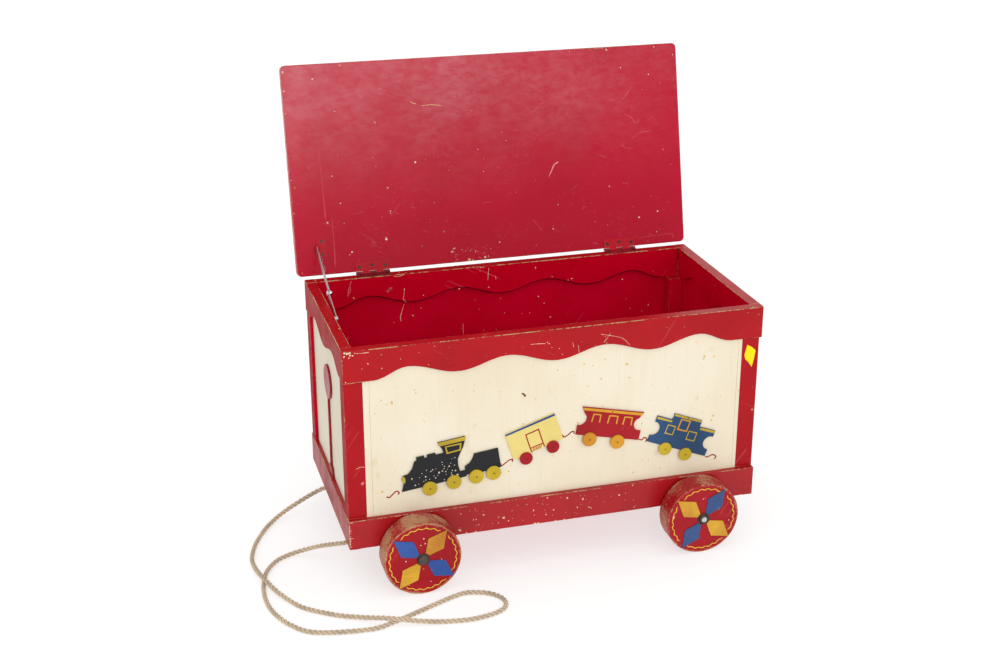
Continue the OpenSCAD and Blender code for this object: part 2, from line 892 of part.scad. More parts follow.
module lid_screws() {
    color(dark_steel) {
        for (x = hinge_xs, s = leaf_screws)
            on_lid(x) translate([s.x, pin_up, s.y]) rotate([90, 0, 0]) screw();
        for (s = head_screws)
            on_lid() translate([head_plate_x + s.x, pin_up, stay_head_up + s.y])
                rotate([90, 0, 0]) screw();
    }
}

// ---- rope ----

// Smooth curve through the route's points, kept up on the floor
function route_at(i, t) =
    let (
        last = len(rope_route) - 1,
        a = rope_route[max(i - 1, 0)],
        b = rope_route[i],
        c = rope_route[min(i + 1, last)],
        d = rope_route[min(i + 2, last)],
        p = (2 * b + (c - a) * t + (2 * a - 5 * b + 4 * c - d) * t * t
            + (3 * b - a - 3 * c + d) * t * t * t) / 2
    )
    [x0 + p.x, y0 + p.y, max(p.z, rope_d / 2)];

rope_line = concat(
    [for (i = [0:len(rope_route) - 2], k = [0:rope_steps - 1]) route_at(i, k / rope_steps)],
    [route_at(len(rope_route) - 1, 0)]
);

// Ring of points around point i of the rope
function rope_ring(i) =
    let (
        last = len(rope_line) - 1,
        run = rope_line[min(i + 1, last)] - rope_line[max(i - 1, 0)],
        ahead = run / norm(run),
        flat = cross(ahead, [0, 0, 1]),
        side = flat / norm(flat),
        up = cross(side, ahead)
    )
    [for (k = [0:rope_sides - 1]) let (a = 360 * k / rope_sides)
        rope_line[i] + rope_d / 2 * (cos(a) * side + sin(a) * up)];

module rope() {
    rings = len(rope_line);
    n = rope_sides;
    color(tan) polyhedron(
        points = [for (i = [0:rings - 1]) each rope_ring(i)],
        faces = concat(
            [[for (k = [0:n - 1]) k]],
            [for (i = [0:rings - 2], k = [0:n - 1])
                [i * n + k, (i + 1) * n + k, (i + 1) * n + (k + 1) % n, i * n + (k + 1) % n]],
            [[for (k = [n - 1:-1:0]) (rings - 1) * n + k]]
        )
    );
}

// One knot behind the axle block, with a short tail
module rope_knot() {
    rotate([0, 90, 0]) {
        rotate_extrude() polygon([[0, 0], [6, 0], [9, 4], [9, 11], [6, 15], [0, 15]]);
        translate([0, 0, 14]) cylinder(d = rope_d, h = 12);
    }
}

module rope_knots() {
    color(tan) for (y = rope_hole_ys)
        translate([axle_x_left + block_w / 2 + 1, y0 + y, rope_hole_z]) rope_knot();
}

// ---- nodes ----

rail_front();
rail_back();
rail_left();
rail_right();
post_front_left();
post_front_right();
post_back_left();
post_back_right();
panel_front();
panel_back();
panel_left();
panel_right();
base_front();
base_back();
base_left();
base_right();
floor_board();
axle_block_left();
axle_block_right();
axle_left();
axle_right();
axle_spacers();
hub_caps();
wheel_front_left();
wheel_front_right();
wheel_back_left();
wheel_back_right();
diamonds_front_left();
diamonds_front_right();
diamonds_back_left();
diamonds_back_right();
train_engine();
train_boxcar();
train_coach();
train_caboose();
train_wheels_yellow();
train_wheels_red();
train_nails();
brake_wheel();
brake_staff();
brake_step();
hinge_leaves_chest();
hinge_leaves_lid();
hinge_pins();
chest_screws();
lid_board();
lid_screws();
stay_rail_bracket();
stay_lower_arm();
stay_lower_washer();
stay_upper_arm();
stay_rivet();
stay_spring();
stay_lid_bracket();
rope();
rope_knots();
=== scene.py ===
"""Looks of the toy chest on wheels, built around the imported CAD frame."""
import json
import math
import random

import bmesh
import bpy
from mathutils import Matrix, Vector, noise


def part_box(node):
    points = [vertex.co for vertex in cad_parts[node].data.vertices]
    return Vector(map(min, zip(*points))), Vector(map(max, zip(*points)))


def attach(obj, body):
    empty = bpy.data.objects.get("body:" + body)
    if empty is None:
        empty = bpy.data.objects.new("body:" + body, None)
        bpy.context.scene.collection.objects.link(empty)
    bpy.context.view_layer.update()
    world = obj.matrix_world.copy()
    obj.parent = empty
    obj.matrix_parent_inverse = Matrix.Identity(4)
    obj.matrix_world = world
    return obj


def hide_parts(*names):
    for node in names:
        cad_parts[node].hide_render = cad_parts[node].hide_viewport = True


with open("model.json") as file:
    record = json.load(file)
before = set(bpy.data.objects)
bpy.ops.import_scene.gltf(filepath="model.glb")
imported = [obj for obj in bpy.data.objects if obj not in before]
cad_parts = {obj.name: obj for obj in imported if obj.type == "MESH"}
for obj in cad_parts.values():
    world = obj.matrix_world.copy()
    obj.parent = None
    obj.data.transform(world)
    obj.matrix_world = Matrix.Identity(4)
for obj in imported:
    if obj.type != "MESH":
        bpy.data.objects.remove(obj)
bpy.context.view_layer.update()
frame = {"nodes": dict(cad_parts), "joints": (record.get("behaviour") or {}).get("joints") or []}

MM = 0.001


def span(node):
    """Lowest and highest corner of a CAD node, in millimetres."""
    low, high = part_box(node)
    return low / MM, high / MM


LEFT = span("rail_left")[0].x
RIGHT = span("rail_right")[1].x
FRONT = span("rail_front")[0].y
BACK = span("rail_back")[1].y
RAIL_TOP = span("rail_front")[1].z


def slid(by):
    """Matrix that moves by (x, y, z)."""
    return Matrix.Translation(by)


def spun(axis, degrees):
    return Matrix.Rotation(math.radians(degrees), 4, axis)


TO_FRONT = spun("X", 90)


# ---- camera, floor and light ----

LENS, SENSOR_W = 55.37, 36.0
VIEW_AT = (-0.763877, -2.494075, 1.386807)
VIEW_TURN, VIEW_DROP, VIEW_ROLL = -16.1425, 21.534, -0.065
FLOOR_HALF, FLOOR_GREY, FLOOR_GLOW = 30, 0.42, 0.62
KEY_AT, KEY_AIM, KEY_POWER, KEY_SIZE = (-0.15, -3.0, 1.66), (0, 0.1, 0.5), 15, (0.9, 0.36)


def add_camera():
    data = bpy.data.cameras.new("view")
    data.lens = LENS
    data.sensor_width = SENSOR_W
    camera = bpy.data.objects.new("view", data)
    camera.matrix_world = (slid(VIEW_AT) @ spun("Z", VIEW_TURN)
                           @ spun("X", 90.0 - VIEW_DROP) @ spun("Z", VIEW_ROLL))
    bpy.context.scene.collection.objects.link(camera)
    bpy.context.scene.camera = camera


def add_key_light():
    data = bpy.data.lights.new("key", "AREA")
    data.energy = KEY_POWER
    data.shape = "RECTANGLE"
    data.size, data.size_y = KEY_SIZE
    lamp = bpy.data.objects.new("key", data)
    lamp.location = KEY_AT
    aim = Vector(KEY_AIM) - Vector(KEY_AT)
    lamp.rotation_mode = "QUATERNION"
    lamp.rotation_quaternion = aim.to_track_quat("-Z", "Y")
    bpy.context.scene.collection.objects.link(lamp)


def add_studio():
    scene = bpy.context.scene
    scene.view_settings.view_transform = "Standard"
    world = bpy.data.worlds.new("studio")
    world.use_nodes = True
    background = world.node_tree.nodes["Background"]
    background.inputs["Color"].default_value = (1, 1, 1, 1)
    background.inputs["Strength"].default_value = 1.0
    scene.world = world
    mesh = bpy.data.meshes.new("floor")
    r = FLOOR_HALF
    mesh.from_pydata([(-r, -r, 0), (r, -r, 0), (r, r, 0), (-r, r, 0)], [], [(0, 1, 2, 3)])
    floor = bpy.data.objects.new("floor", mesh)
    scene.collection.objects.link(floor)
    paint = bpy.data.materials.new("floor_white")
    paint.use_nodes = True
    shader = paint.node_tree.nodes["Principled BSDF"]
    shader.inputs["Base Color"].default_value = (FLOOR_GREY,) * 3 + (1,)
    shader.inputs["Emission Color"].default_value = (1, 1, 1, 1)
    shader.inputs["Emission Strength"].default_value = FLOOR_GLOW
    shader.inputs["Roughness"].default_value = 0.9
    mesh.materials.append(paint)
    add_key_light()


# ---- rope ----

ROPE_ROUTE = [
    (137, 78, 56), (98, 78, 56), (50, 80, 53), (9, 87, 44), (-32, 121, 25), (-70, 141, 8),
    (-104, 130, 4), (-130, 96, 4), (-142, 56, 4), (-147, 12, 4), (-141, -40, 4),
    (-118, -91, 4), (-80, -125, 4), (5, -140, 4), (48, -129, 4), (97, -108, 4),
    (172, -76, 4), (203, -77, 4), (228, -90, 4), (242, -112, 4), (238, -135, 4),
    (215, -150, 4), (171, -157, 4), (121, -150, 5), (80, -142, 9), (40, -129, 13),
    (0, -106, 8), (-48, -76, 4), (-90, -42, 4), (-122, 8, 8), (-141, 54, 13),
    (-150, 105, 7), (-150, 150, 4), (-133, 206, 4), (-97, 270, 5), (-50, 303, 17),
    (6, 299, 46), (50, 291, 54), (98, 288, 56), (137, 288, 56),
]
ROPE_R = 4.5
ROPE_LAY = 27.0
ROPE_STEP = 2.2


def smooth_line(points, steps):
    """Points on a Catmull-Rom line through the given ones, steps to each stretch."""
    p = [Vector(v) for v in points]
    p = [2 * p[0] - p[1]] + p + [2 * p[-1] - p[-2]]
    line = []
    for i in range(1, len(p) - 2):
        a, b, c, d = p[i - 1:i + 3]
        for j in range(steps):
            t = j / steps
            line.append(0.5 * (2 * b + (c - a) * t + (2 * a - 5 * b + 4 * c - d) * t * t
                               + (3 * b - a - 3 * c + d) * t ** 3))
    line.append(p[-2])
    return line


# ---- mesh tools: everything is drawn in millimetres in the part's frame ----

def cad_copy(node):
    """A CAD node's mesh in millimetres, with its flat faces made whole."""
    bm = bmesh.new()
    bm.from_mesh(frame["nodes"][node].data)
    bmesh.ops.scale(bm, vec=(1 / MM,) * 3, verts=bm.verts)
    bmesh.ops.remove_doubles(bm, verts=bm.verts, dist=0.003)
    bmesh.ops.dissolve_limit(bm, angle_limit=math.radians(0.6), verts=bm.verts, edges=bm.edges)
    return bm


def split_long(bm, step):
    """Cuts each edge into stretches no longer than step, and leaves the faces whole."""
    waiting = list(bm.edges)
    while waiting:
        edge = waiting.pop()
        if edge.calc_length() > step:
            new_edge, _ = bmesh.utils.edge_split(edge, edge.verts[0], 0.5)
            waiting += [edge, new_edge]


SHARP = math.radians(40)


def soften(bm, width, segments=2, pick=None):
    """Rounds the sharp edges, or those of them that pick is true for."""
    edges = [e for e in bm.edges
             if len(e.link_faces) == 2 and e.calc_face_angle(0) > SHARP
             and (pick is None or pick(e))]
    bmesh.ops.bevel(bm, geom=edges, offset=width, offset_type="OFFSET",
                    segments=segments, profile=0.5, affect="EDGES", clamp_overlap=True)


def wear_down(bm, amount, pitch=14.0, seed=0.0):
    """Rubs the points along the edges down by uneven amounts, always inwards."""
    bm.normal_update()
    shift = Vector((seed, seed * 1.7, -seed))
    for v in bm.verts:
        depth = noise.noise(v.co / pitch + shift) + 0.5 * noise.noise(v.co / (pitch / 3))
        v.co -= v.normal * amount * max(0.0, depth)


def bridge(bm, a, b):
    """Faces between two rings of as many points."""
    for k in range(len(a)):
        j = (k + 1) % len(a)
        bm.faces.new((a[k], a[j], b[j], b[k]))


def outside_out(bm):
    bmesh.ops.recalc_face_normals(bm, faces=bm.faces)
    return bm


def prism(points, low, high):
    """A closed solid over a flat outline, from z = low to z = high."""
    bm = bmesh.new()
    bottom = [bm.verts.new((x, y, low)) for x, y in points]
    top = [bm.verts.new((x, y, high)) for x, y in points]
    bm.faces.new(list(reversed(bottom)))
    bm.faces.new(top)
    bridge(bm, bottom, top)
    return outside_out(bm)


def lathe(profile, steps=48):
    """A solid turned around +Z from (radius, height) points, closed at both ends."""
    bm = bmesh.new()
    rings = []
    for r, z in profile:
        if r < 1e-6:
            rings.append([bm.verts.new((0, 0, z))] * steps)
        else:
            rings.append([bm.verts.new((r * math.cos(math.tau * k / steps),
                                        r * math.sin(math.tau * k / steps), z))
                          for k in range(steps)])
    pairs = list(zip(rings, rings[1:]))
    if profile[0][0] > 1e-6 and profile[-1][0] > 1e-6:
        pairs.append((rings[-1], rings[0]))
    for a, b in pairs:
        for k in range(steps):
            j = (k + 1) % steps
            corner = list(dict.fromkeys((a[k], a[j], b[j], b[k])))
            if len(corner) > 2:
                bm.faces.new(corner)
    return outside_out(bm)


def arc(cx, cz, r, start, end, steps):
    """Points of an arc in a lathe's profile, angles in degrees."""
    return [(cx + r * math.cos(math.radians(start + (end - start) * k / steps)),
             cz + r * math.sin(math.radians(start + (end - start) * k / steps)))
            for k in range(steps + 1)]


def joined(parts):
    """Several bmeshes as one."""
    whole = bmesh.new()
    for bm in parts:
        mesh = bpy.data.meshes.new("part")
        bm.to_mesh(mesh)
        bm.free()
        whole.from_mesh(mesh)
        bpy.data.meshes.remove(mesh)
    return whole


def moved(bm, matrix):
    bm.transform(matrix)
    return bm


def stroke(line, width, low, high):
    """A flat painted line: line is a list of (x, y) points or (x, y, width share) points."""
    n = len(line)
    left, right = [], []
    for i, p in enumerate(line):
        a, b = line[max(i - 1, 0)], line[min(i + 1, n - 1)]
        ahead = Vector((b[0] - a[0], b[1] - a[1])).normalized()
        half = width / 2 * (p[2] if len(p) > 2 else 1.0)
        side = Vector((-ahead.y, ahead.x)) * half
        left.append((p[0] + side.x, p[1] + side.y))
        right.append((p[0] - side.x, p[1] - side.y))
    bm = bmesh.new()
    rings = []
    for (lx, ly), (rx, ry) in zip(left, right):
        rings.append([bm.verts.new(v) for v in
                      ((lx, ly, low), (rx, ry, low), (rx, ry, high), (lx, ly, high))])
    for a, b in zip(rings, rings[1:]):
        bridge(bm, a, b)
    bm.faces.new(rings[0])
    bm.faces.new(list(reversed(rings[-1])))
    return outside_out(bm)


def piece(name, bm, materials, body="chest", replaced=(), smooth=35):
    """Turns a bmesh in millimetres into a shown piece that rides on a body."""
    bm.transform(Matrix.Scale(MM, 4))
    mesh = bpy.data.meshes.new(name)
    bm.to_mesh(mesh)
    bm.free()
    for material in materials if isinstance(materials, (list, tuple)) else [materials]:
        mesh.materials.append(material)
    mesh.polygons.foreach_set("use_smooth", [True] * len(mesh.polygons))
    mesh.set_sharp_from_angle(angle=math.radians(smooth))
    obj = bpy.data.objects.new(name, mesh)
    bpy.context.scene.collection.objects.link(obj)
    even = obj.modifiers.new("even_normals", "WEIGHTED_NORMAL")
    even.keep_sharp = True
    even.weight = 90
    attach(obj, body)
    if replaced:
        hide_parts(*replaced)
    return obj


def cad_piece(name, node, material, width, segments=2, body="chest", step=0,
              worn=0.0, pitch=14.0, seed=0.0):
    """A piece that is its CAD node with the edges rounded and rubbed down."""
    bm = cad_copy(node)
    if step:
        split_long(bm, step)
    soften(bm, width, segments)
    if worn:
        wear_down(bm, worn, pitch, seed)
    piece(name, bm, material, body, [node])


# ---- materials ----

def linear(rgb):
    """An sRGB colour of 0 to 255 as linear light with alpha."""
    return tuple((c / 255 / 12.92) if c <= 10 else ((c / 255 + 0.055) / 1.055) ** 2.4
                 for c in rgb) + (1.0,)


def dimmed(rgb, share):
    return linear(tuple(c * share for c in rgb))


class Surface:
    """One material's nodes around a single Principled shader."""

    def __init__(self, name):
        self.material = bpy.data.materials.new(name)
        self.material.use_nodes = True
        self.tree = self.material.node_tree
        self.tree.nodes.clear()
        out = self.tree.nodes.new("ShaderNodeOutputMaterial")
        self.shader = self.tree.nodes.new("ShaderNodeBsdfPrincipled")
        self.tree.links.new(self.shader.outputs[0], out.inputs["Surface"])
        self.place = self.add("TexCoord").outputs["Object"]

    def add(self, kind, inputs=None, **settings):
        node = self.tree.nodes.new("ShaderNode" + kind)
        for key, value in settings.items():
            setattr(node, key, value)
        for key, value in (inputs or {}).items():
            self.put(node.inputs[key], value)
        return node

    def put(self, socket, value):
        if isinstance(value, bpy.types.NodeSocket):
            self.tree.links.new(value, socket)
        else:
            socket.default_value = value

    def set(self, **inputs):
        for key, value in inputs.items():
            self.put(self.shader.inputs[key.replace("_", " ")], value)

    def stretched(self, scale, turn=(0, 0, 0)):
        turned = tuple(math.radians(a) for a in turn)
        return self.add("Mapping", {"Vector": self.place, "Scale": scale,
                                    "Rotation": turned}).outputs[0]

    def noise(self, scale, detail=3, rough=0.55, at=None, distort=0.0):
        return self.add("TexNoise", {"Vector": at or self.place, "Scale": scale,
                                     "Detail": detail, "Roughness": rough,
                                     "Distortion": distort}).outputs["Fac"]

    def math(self, kind, a, b=0.0, clamp=False):
        return self.add("Math", {0: a, 1: b}, operation=kind, use_clamp=clamp).outputs[0]

    def times(self, a, b, clamp=False):
        return self.math("MULTIPLY", a, b, clamp)

    def plus(self, a, b):
        return self.math("ADD", a, b)

    def less(self, a, b):
        return self.math("SUBTRACT", a, b)

    def most(self, a, b):
        return self.math("MAXIMUM", a, b)

    def least(self, a, b):
        return self.math("MINIMUM", a, b)

    def between(self, value, low, high, to_low=0.0, to_high=1.0):
        """The value's place between low and high, smoothed at both ends."""
        return self.add("MapRange", {"Value": value, "From Min": low, "From Max": high,
                                     "To Min": to_low, "To Max": to_high},
                        interpolation_type="SMOOTHSTEP").outputs["Result"]

    def mix(self, share, a, b):
        return self.add("Mix", {0: share, 6: a, 7: b}, data_type="RGBA").outputs[2]

    def edges(self, reach):
        """1 on a convex edge, falling to 0 at reach from it, in metres."""
        shut = self.add("AmbientOcclusion", {"Distance": reach}, inside=True,
                        only_local=True, samples=4).outputs["AO"]
        return self.times(self.less(1.0, shut), 2.0, clamp=True)

    def box_edges(self, reach, boxes):
        """The same for the edges of boxes, each given by two corners in metres."""
        at = self.add("SeparateXYZ", {"Vector": self.place})
        edge = 0.0
        for low, high in boxes:
            gaps = []
            for axis in range(3):
                below = self.less(at.outputs[axis], low[axis])
                above = self.less(high[axis], at.outputs[axis])
                gaps.append(self.math("ABSOLUTE", self.least(below, above)))
            a, b, c = gaps
            nearer = self.least(self.most(a, b), c)
            second = self.most(self.least(a, b), nearer)
            edge = self.most(edge, self.between(second, 0.0, reach, 1.0, 0.0))
        return edge

    def painted_sheen(self):
        """A painted reflection on the open lid: paler toward the top and the left, uneven and
        streaky.
        """
        at = self.add("SeparateXYZ", {"Vector": self.place})
        high = self.between(at.outputs[2], 0.52, 0.84)
        left = self.between(at.outputs[0], -0.1, 0.5, 1.0, 0.3)
        cloud = self.between(self.noise(9.0, 5.0, 0.65), 0.3, 0.7, 0.5, 1.2)
        streak = self.noise(90.0, 5.0, 0.7, self.stretched((0.5, 1.0, 1.0), (0, 30, 0)))
        uneven = self.times(cloud, self.between(streak, 0.25, 0.75, 0.5, 1.4))
        return self.times(self.times(high, left), self.times(uneven, 0.1))

    def specks(self, cell, radius, share, seed):
        """Scattered spots: cell and radius in metres, share of the cells that hold one."""
        warp = self.add("TexNoise", {"Vector": self.place, "Scale": 0.6 / radius,
                                     "Detail": 2.0}).outputs["Color"]
        shift = self.add("VectorMath", {0: warp, "Scale": radius * 1.1},
                         operation="SCALE").outputs[0]
        at = self.add("VectorMath", {0: self.place, 1: shift}, operation="ADD").outputs[0]
        at = self.add("VectorMath", {0: at, 1: (seed, seed * 0.7, seed * 1.3)},
                      operation="ADD").outputs[0]
        cells = self.add("TexVoronoi", {"Vector": at, "Scale": 1 / cell})
        lot = self.add("SeparateColor", {"Color": cells.outputs["Color"]})
        size = self.between(lot.outputs["Green"], 0.0, 1.0, 0.25 * radius / cell, radius / cell)
        inside = self.math("LESS_THAN", cells.outputs["Distance"], size)
        chosen = self.math("LESS_THAN", lot.outputs["Red"], share)
        return self.times(inside, chosen)

    def scratches(self, width, length, share, turn, seed):
        """Fine straight scratches of a width and length in metres."""
        at = self.stretched((1, 1, 1), turn)
        at = self.add("Mapping", {"Vector": at, "Scale": (1, 1, width / length),
                                  "Location": (seed, -seed, seed * 2)}).outputs[0]
        line = self.between(self.noise(0.3 / width, 0.0, 0.5, at), 0.76, 0.80)
        broken = self.noise(11.0, 2.0, 0.6, self.stretched((1, 1, 1), (seed * 40, 0, 0)))
        kept = self.between(broken, 0.60 - 0.2 * share, 0.66 - 0.2 * share)
        return self.times(line, kept)

    def bump(self, height, distance, strength=1.0, under=None):
        inputs = {"Height": height, "Distance": distance, "Strength": strength}
        if under is not None:
            inputs["Normal"] = under
        return self.add("Bump", inputs).outputs[0]


BOX_WEAR_REACH = 0.0032
# Colour of the painted reflection on the open lid.
PAINTED_SHEEN_PINK = (255, 232, 236)


def paint(name, colour, deep, wear=0.5, reach=None, box=None, chips=0.5, marks=0.3,
          rough=0.34, wood=(205, 168, 124), grain=(1.0, 1.0, 1.0), shine=0.2,
          painted_sheen=False):
    """Old brushed enamel on wood: worn to the wood on its edges, chipped and scratched.

    The wear follows the mesh's edges within reach metres, or the edges of the boxes in box,
    and the mesh's own rub attribute.
    """
    s = Surface(name)
    blotch = s.noise(7.0, 4.0, 0.6)
    streak = s.noise(60.0, 4.0, 0.6, s.stretched(grain))
    base = s.mix(s.between(blotch, 0.32, 0.72), linear(colour), linear(deep))
    base = s.mix(s.between(streak, 0.45, 0.75, 0.0, 0.3), base, linear(deep))
    # Painted reflection: the paint turns paler pink toward the lid's top left.
    if painted_sheen:
        base = s.mix(s.painted_sheen(), base, linear(PAINTED_SHEEN_PINK))
    rubbed = s.noise(170.0, 5.0, 0.68)
    fray = s.times(s.less(rubbed, 0.5), 1.6)
    rub = s.add("Attribute", attribute_name="rub").outputs["Fac"]
    bare = s.specks(0.0085, 0.0013, 0.22 * chips, 3.1)
    bare = s.most(bare, s.specks(0.019, 0.0021, 0.2 * chips, 9.7))
    fibre = s.times(s.less(s.noise(330.0, 5.0, 0.8), 0.5), 3.6)
    dull = s.between(s.plus(s.plus(rub, fray), fibre), 0.3, 1.1)
    dull = s.times(dull, s.between(rub, 0.0, 0.1))
    if reach or box:
        edge = s.edges(reach) if reach else s.box_edges(BOX_WEAR_REACH, box)
        patchy = s.noise(14.0, 3.0, 0.6)
        worn = s.plus(s.plus(edge, fray), s.times(s.less(patchy, 0.5), 1.4))
        worn = s.plus(worn, s.times(rub, 0.25))
        flaked = s.between(worn, 1.02 - 0.5 * wear, 1.12 - 0.5 * wear)
        flaked = s.times(flaked, s.math("GREATER_THAN", edge, 0.04))
        bare = s.most(bare, flaked)
        thin = s.between(worn, 0.78 - 0.5 * wear, 1.06 - 0.5 * wear)
        thin = s.times(thin, s.between(edge, 0.02, 0.2))
        base = s.mix(s.times(thin, 0.5), base, dimmed(deep, 0.62))
    fine = s.scratches(0.0005, 0.05, marks, (0, 62, 0), 1.3)
    cross = s.scratches(0.0004, 0.03, marks, (0, -35, 90), 6.1)
    line = s.most(fine, cross)
    wood_tone = s.mix(s.between(s.noise(420.0, 3.0), 0.35, 0.7), linear(wood), dimmed(wood, 0.78))
    light = linear(tuple(c + (255 - c) * 0.35 for c in colour))
    base = s.mix(s.times(dull, 0.75), base, dimmed(wood, 0.92))
    base = s.mix(s.times(line, 0.6), base, light)
    base = s.mix(bare, base, wood_tone)
    gone = s.most(bare, s.times(line, 0.4))
    gone = s.most(gone, s.times(dull, 0.6))
    gloss = s.between(s.noise(23.0, 5.0, 0.65), 0.3, 0.75, rough - 0.05, rough + 0.1)
    s.set(Base_Color=base, Roughness=s.plus(gloss, s.times(gone, 0.3)), Specular_IOR_Level=shine)
    peel = s.bump(s.noise(650.0, 2.0), 0.00012, 0.5)
    brushed = s.bump(streak, 0.0002, 0.35, peel)
    s.set(Normal=s.bump(s.less(1.0, gone), 0.00018, 0.9, brushed))
    return s.material


def thin_paint(name, colour, deep, chips, grain=(1.0, 1.0, 1.0)):
    return paint(name, colour, deep, 0.1, 0.0005, chips=chips, grain=grain)


def car_paint(name, colour, deep, wear=0.25, chips=0.2):
    return paint(name, colour, deep, wear, 0.0008, chips=chips, marks=0.0)


def marking(name, colour, deep, rough=0.34, shine=0.2):
    """Paint or bared wood for thin marks, with no chips or scratches of its own."""
    return paint(name, colour, deep, chips=0.0, marks=0.0, rough=rough, shine=shine)


def panel_paint(name, colour):
    """Cream paint over plywood: its upright grain shows, with rust-brown specks."""
    s = Surface(name)
    shade = tuple(c * k for c, k in zip(colour, (0.955, 0.93, 0.88)))
    cloud = s.noise(5.0, 3.0, 0.5)
    broad = s.noise(42.0, 3.0, 0.6, s.stretched((1, 1, 0.07)))
    grain = s.noise(330.0, 4.0, 0.65, s.stretched((1, 1, 0.03)))
    blots = s.noise(46.0, 2.0, 0.5, s.stretched((1, 1, 0.6)))
    base = s.mix(s.between(cloud, 0.35, 0.7, 0.0, 0.5), linear(colour), linear(shade))
    base = s.mix(s.between(broad, 0.48, 0.7, 0.0, 0.2), base, linear(shade))
    base = s.mix(s.between(grain, 0.5, 0.74, 0.0, 0.2), base, dimmed(shade, 0.93))
    base = s.mix(s.between(blots, 0.66, 0.8, 0.0, 0.4), base,
                 linear(tuple(c * k for c, k in zip(colour, (0.93, 0.84, 0.68)))))
    specks = s.specks(0.011, 0.0011, 0.10, 4.4)
    base = s.mix(s.times(specks, 0.75), base, linear((178, 132, 82)))
    s.set(Base_Color=base, Roughness=s.between(cloud, 0.3, 0.7, 0.42, 0.55),
          Specular_IOR_Level=0.25)
    s.set(Normal=s.bump(grain, 0.00012, 0.4))
    return s.material


def steel(name, colour, rough=0.38, dirt=0.4, metallic=1.0):
    """Dull plated steel with fine scratches and dirt."""
    s = Surface(name)
    cloud = s.noise(120.0, 4.0, 0.6)
    grit = s.noise(900.0, 3.0, 0.7)
    base = s.mix(s.between(cloud, 0.35, 0.75, 0.0, dirt), linear(colour), dimmed(colour, 0.45))
    base = s.mix(s.between(grit, 0.55, 0.75, 0.0, 0.4), base, dimmed(colour, 0.6))
    s.set(Base_Color=base, Metallic=metallic,
          Roughness=s.between(cloud, 0.3, 0.8, rough - 0.08, rough + 0.18))
    s.set(Normal=s.bump(grit, 0.00008, 0.6))
    return s.material


def bare_wood(name, colour):
    """Unpainted softwood with its grain along Y."""
    s = Surface(name)
    rings = s.noise(30.0, 5.0, 0.6, s.stretched((5.0, 0.35, 5.0)), 0.6)
    fibre = s.noise(300.0, 4.0, 0.7, s.stretched((4.0, 0.15, 4.0)))
    base = s.mix(s.between(rings, 0.4, 0.66), linear(colour), dimmed(colour, 0.74))
    base = s.mix(s.between(fibre, 0.45, 0.75, 0.0, 0.5), base, dimmed(colour, 0.6))
    s.set(Base_Color=base, Roughness=0.72)
    s.set(Normal=s.bump(fibre, 0.0003, 0.6))
    return s.material


def rope_fibre(name, colour):
    """Twisted fibre: fine yarns along each strand, with painted shade darkening the creases
    between the strands.
    """
    s = Surface(name)
    turn = s.add("Attribute", attribute_name="yarn").outputs["Fac"]
    deep = s.add("Attribute", attribute_name="valley").outputs["Fac"]
    yarn = s.math("SINE", s.times(turn, math.tau))
    hairs = s.noise(1500.0, 3.0, 0.7)
    stain = s.noise(26.0, 3.0, 0.6)
    base = s.mix(s.between(stain, 0.3, 0.7), linear(colour), dimmed(colour, 0.86))
    base = s.mix(s.between(yarn, -0.9, 0.6, 0.35, 0.0), base, dimmed(colour, 0.74))
    # Painted shade in the creases between the strands.
    base = s.mix(s.times(deep, 0.65), base, dimmed(colour, 0.64))
    base = s.mix(s.between(hairs, 0.5, 0.8, 0.0, 0.35), base, linear((246, 234, 218)))
    s.set(Base_Color=base, Roughness=0.85, Sheen_Weight=0.25)
    fuzz = s.bump(hairs, 0.0003, 0.8)
    s.set(Normal=s.bump(yarn, 0.0003, 0.7, fuzz))
    return s.material


def metres(low, high):
    return tuple(low * MM), tuple(high * MM)


BOARD_T = 19.0
RAIL_BOXES = [
    metres(Vector((LEFT, FRONT, span("rail_front")[0].z)), Vector((RIGHT, BACK, RAIL_TOP))),
    metres(Vector((LEFT + BOARD_T, FRONT + BOARD_T, -50)),
           Vector((RIGHT - BOARD_T, BACK - BOARD_T, RAIL_TOP))),
]
BASE_LOW, BASE_HIGH = span("base_front")[0], span("base_back")[1]

RAIL_RED = paint("rail_red", (176, 8, 20), (160, 4, 16), wear=0.42, chips=0.3, box=RAIL_BOXES)
# Darker copies of the rail and post paint for the left end: painted shade on the side turned from
# the light.
SHADED_LEFT_RED = paint("end_rail_red", (157, 8, 18), (142, 4, 14), wear=0.4, chips=0.3,
                box=RAIL_BOXES, shine=0.01)
SHADED_LEFT_POST_RED = paint("end_post_red", (150, 6, 16), (136, 4, 14), wear=0.35, reach=0.0018,
                     chips=0.35, shine=0.01)
# Red for the inside faces, made lighter than the outer paint of the same boards: painted light
# inside the box.
LIT_INNER_POST_RED = paint("lit_inner_post_red", (206, 0, 44), (190, 0, 36), wear=0.4, reach=0.0016,
                       chips=0.2, marks=0.1, rough=0.42, shine=0.05)
LIT_INNER_RAIL_RED = paint("lit_inner_rail_red", (200, 0, 36), (188, 0, 30), wear=0.4, chips=0.2,
                       marks=0.1, box=RAIL_BOXES, shine=0.05)
BASE_RED = paint("base_red", (174, 8, 20), (156, 4, 16), wear=0.32, chips=0.7,
                 box=[metres(BASE_LOW, BASE_HIGH)], shine=0.36)
# Darker copy of the base paint for the left end: painted shade on the side turned from the light.
SHADED_LEFT_BASE_RED = paint("end_base_red", (158, 8, 18), (142, 4, 14), wear=0.32, chips=0.5,
                     box=[metres(BASE_LOW, BASE_HIGH)], shine=0.1)
POST_RED = paint("post_red", (174, 10, 22), (156, 6, 18), wear=0.35, reach=0.0018,
                 chips=0.35, shine=0.16)
BRAKE_RED = paint("brake_red", (160, 24, 32), (134, 18, 26), wear=0.2, reach=0.001, chips=0.3)
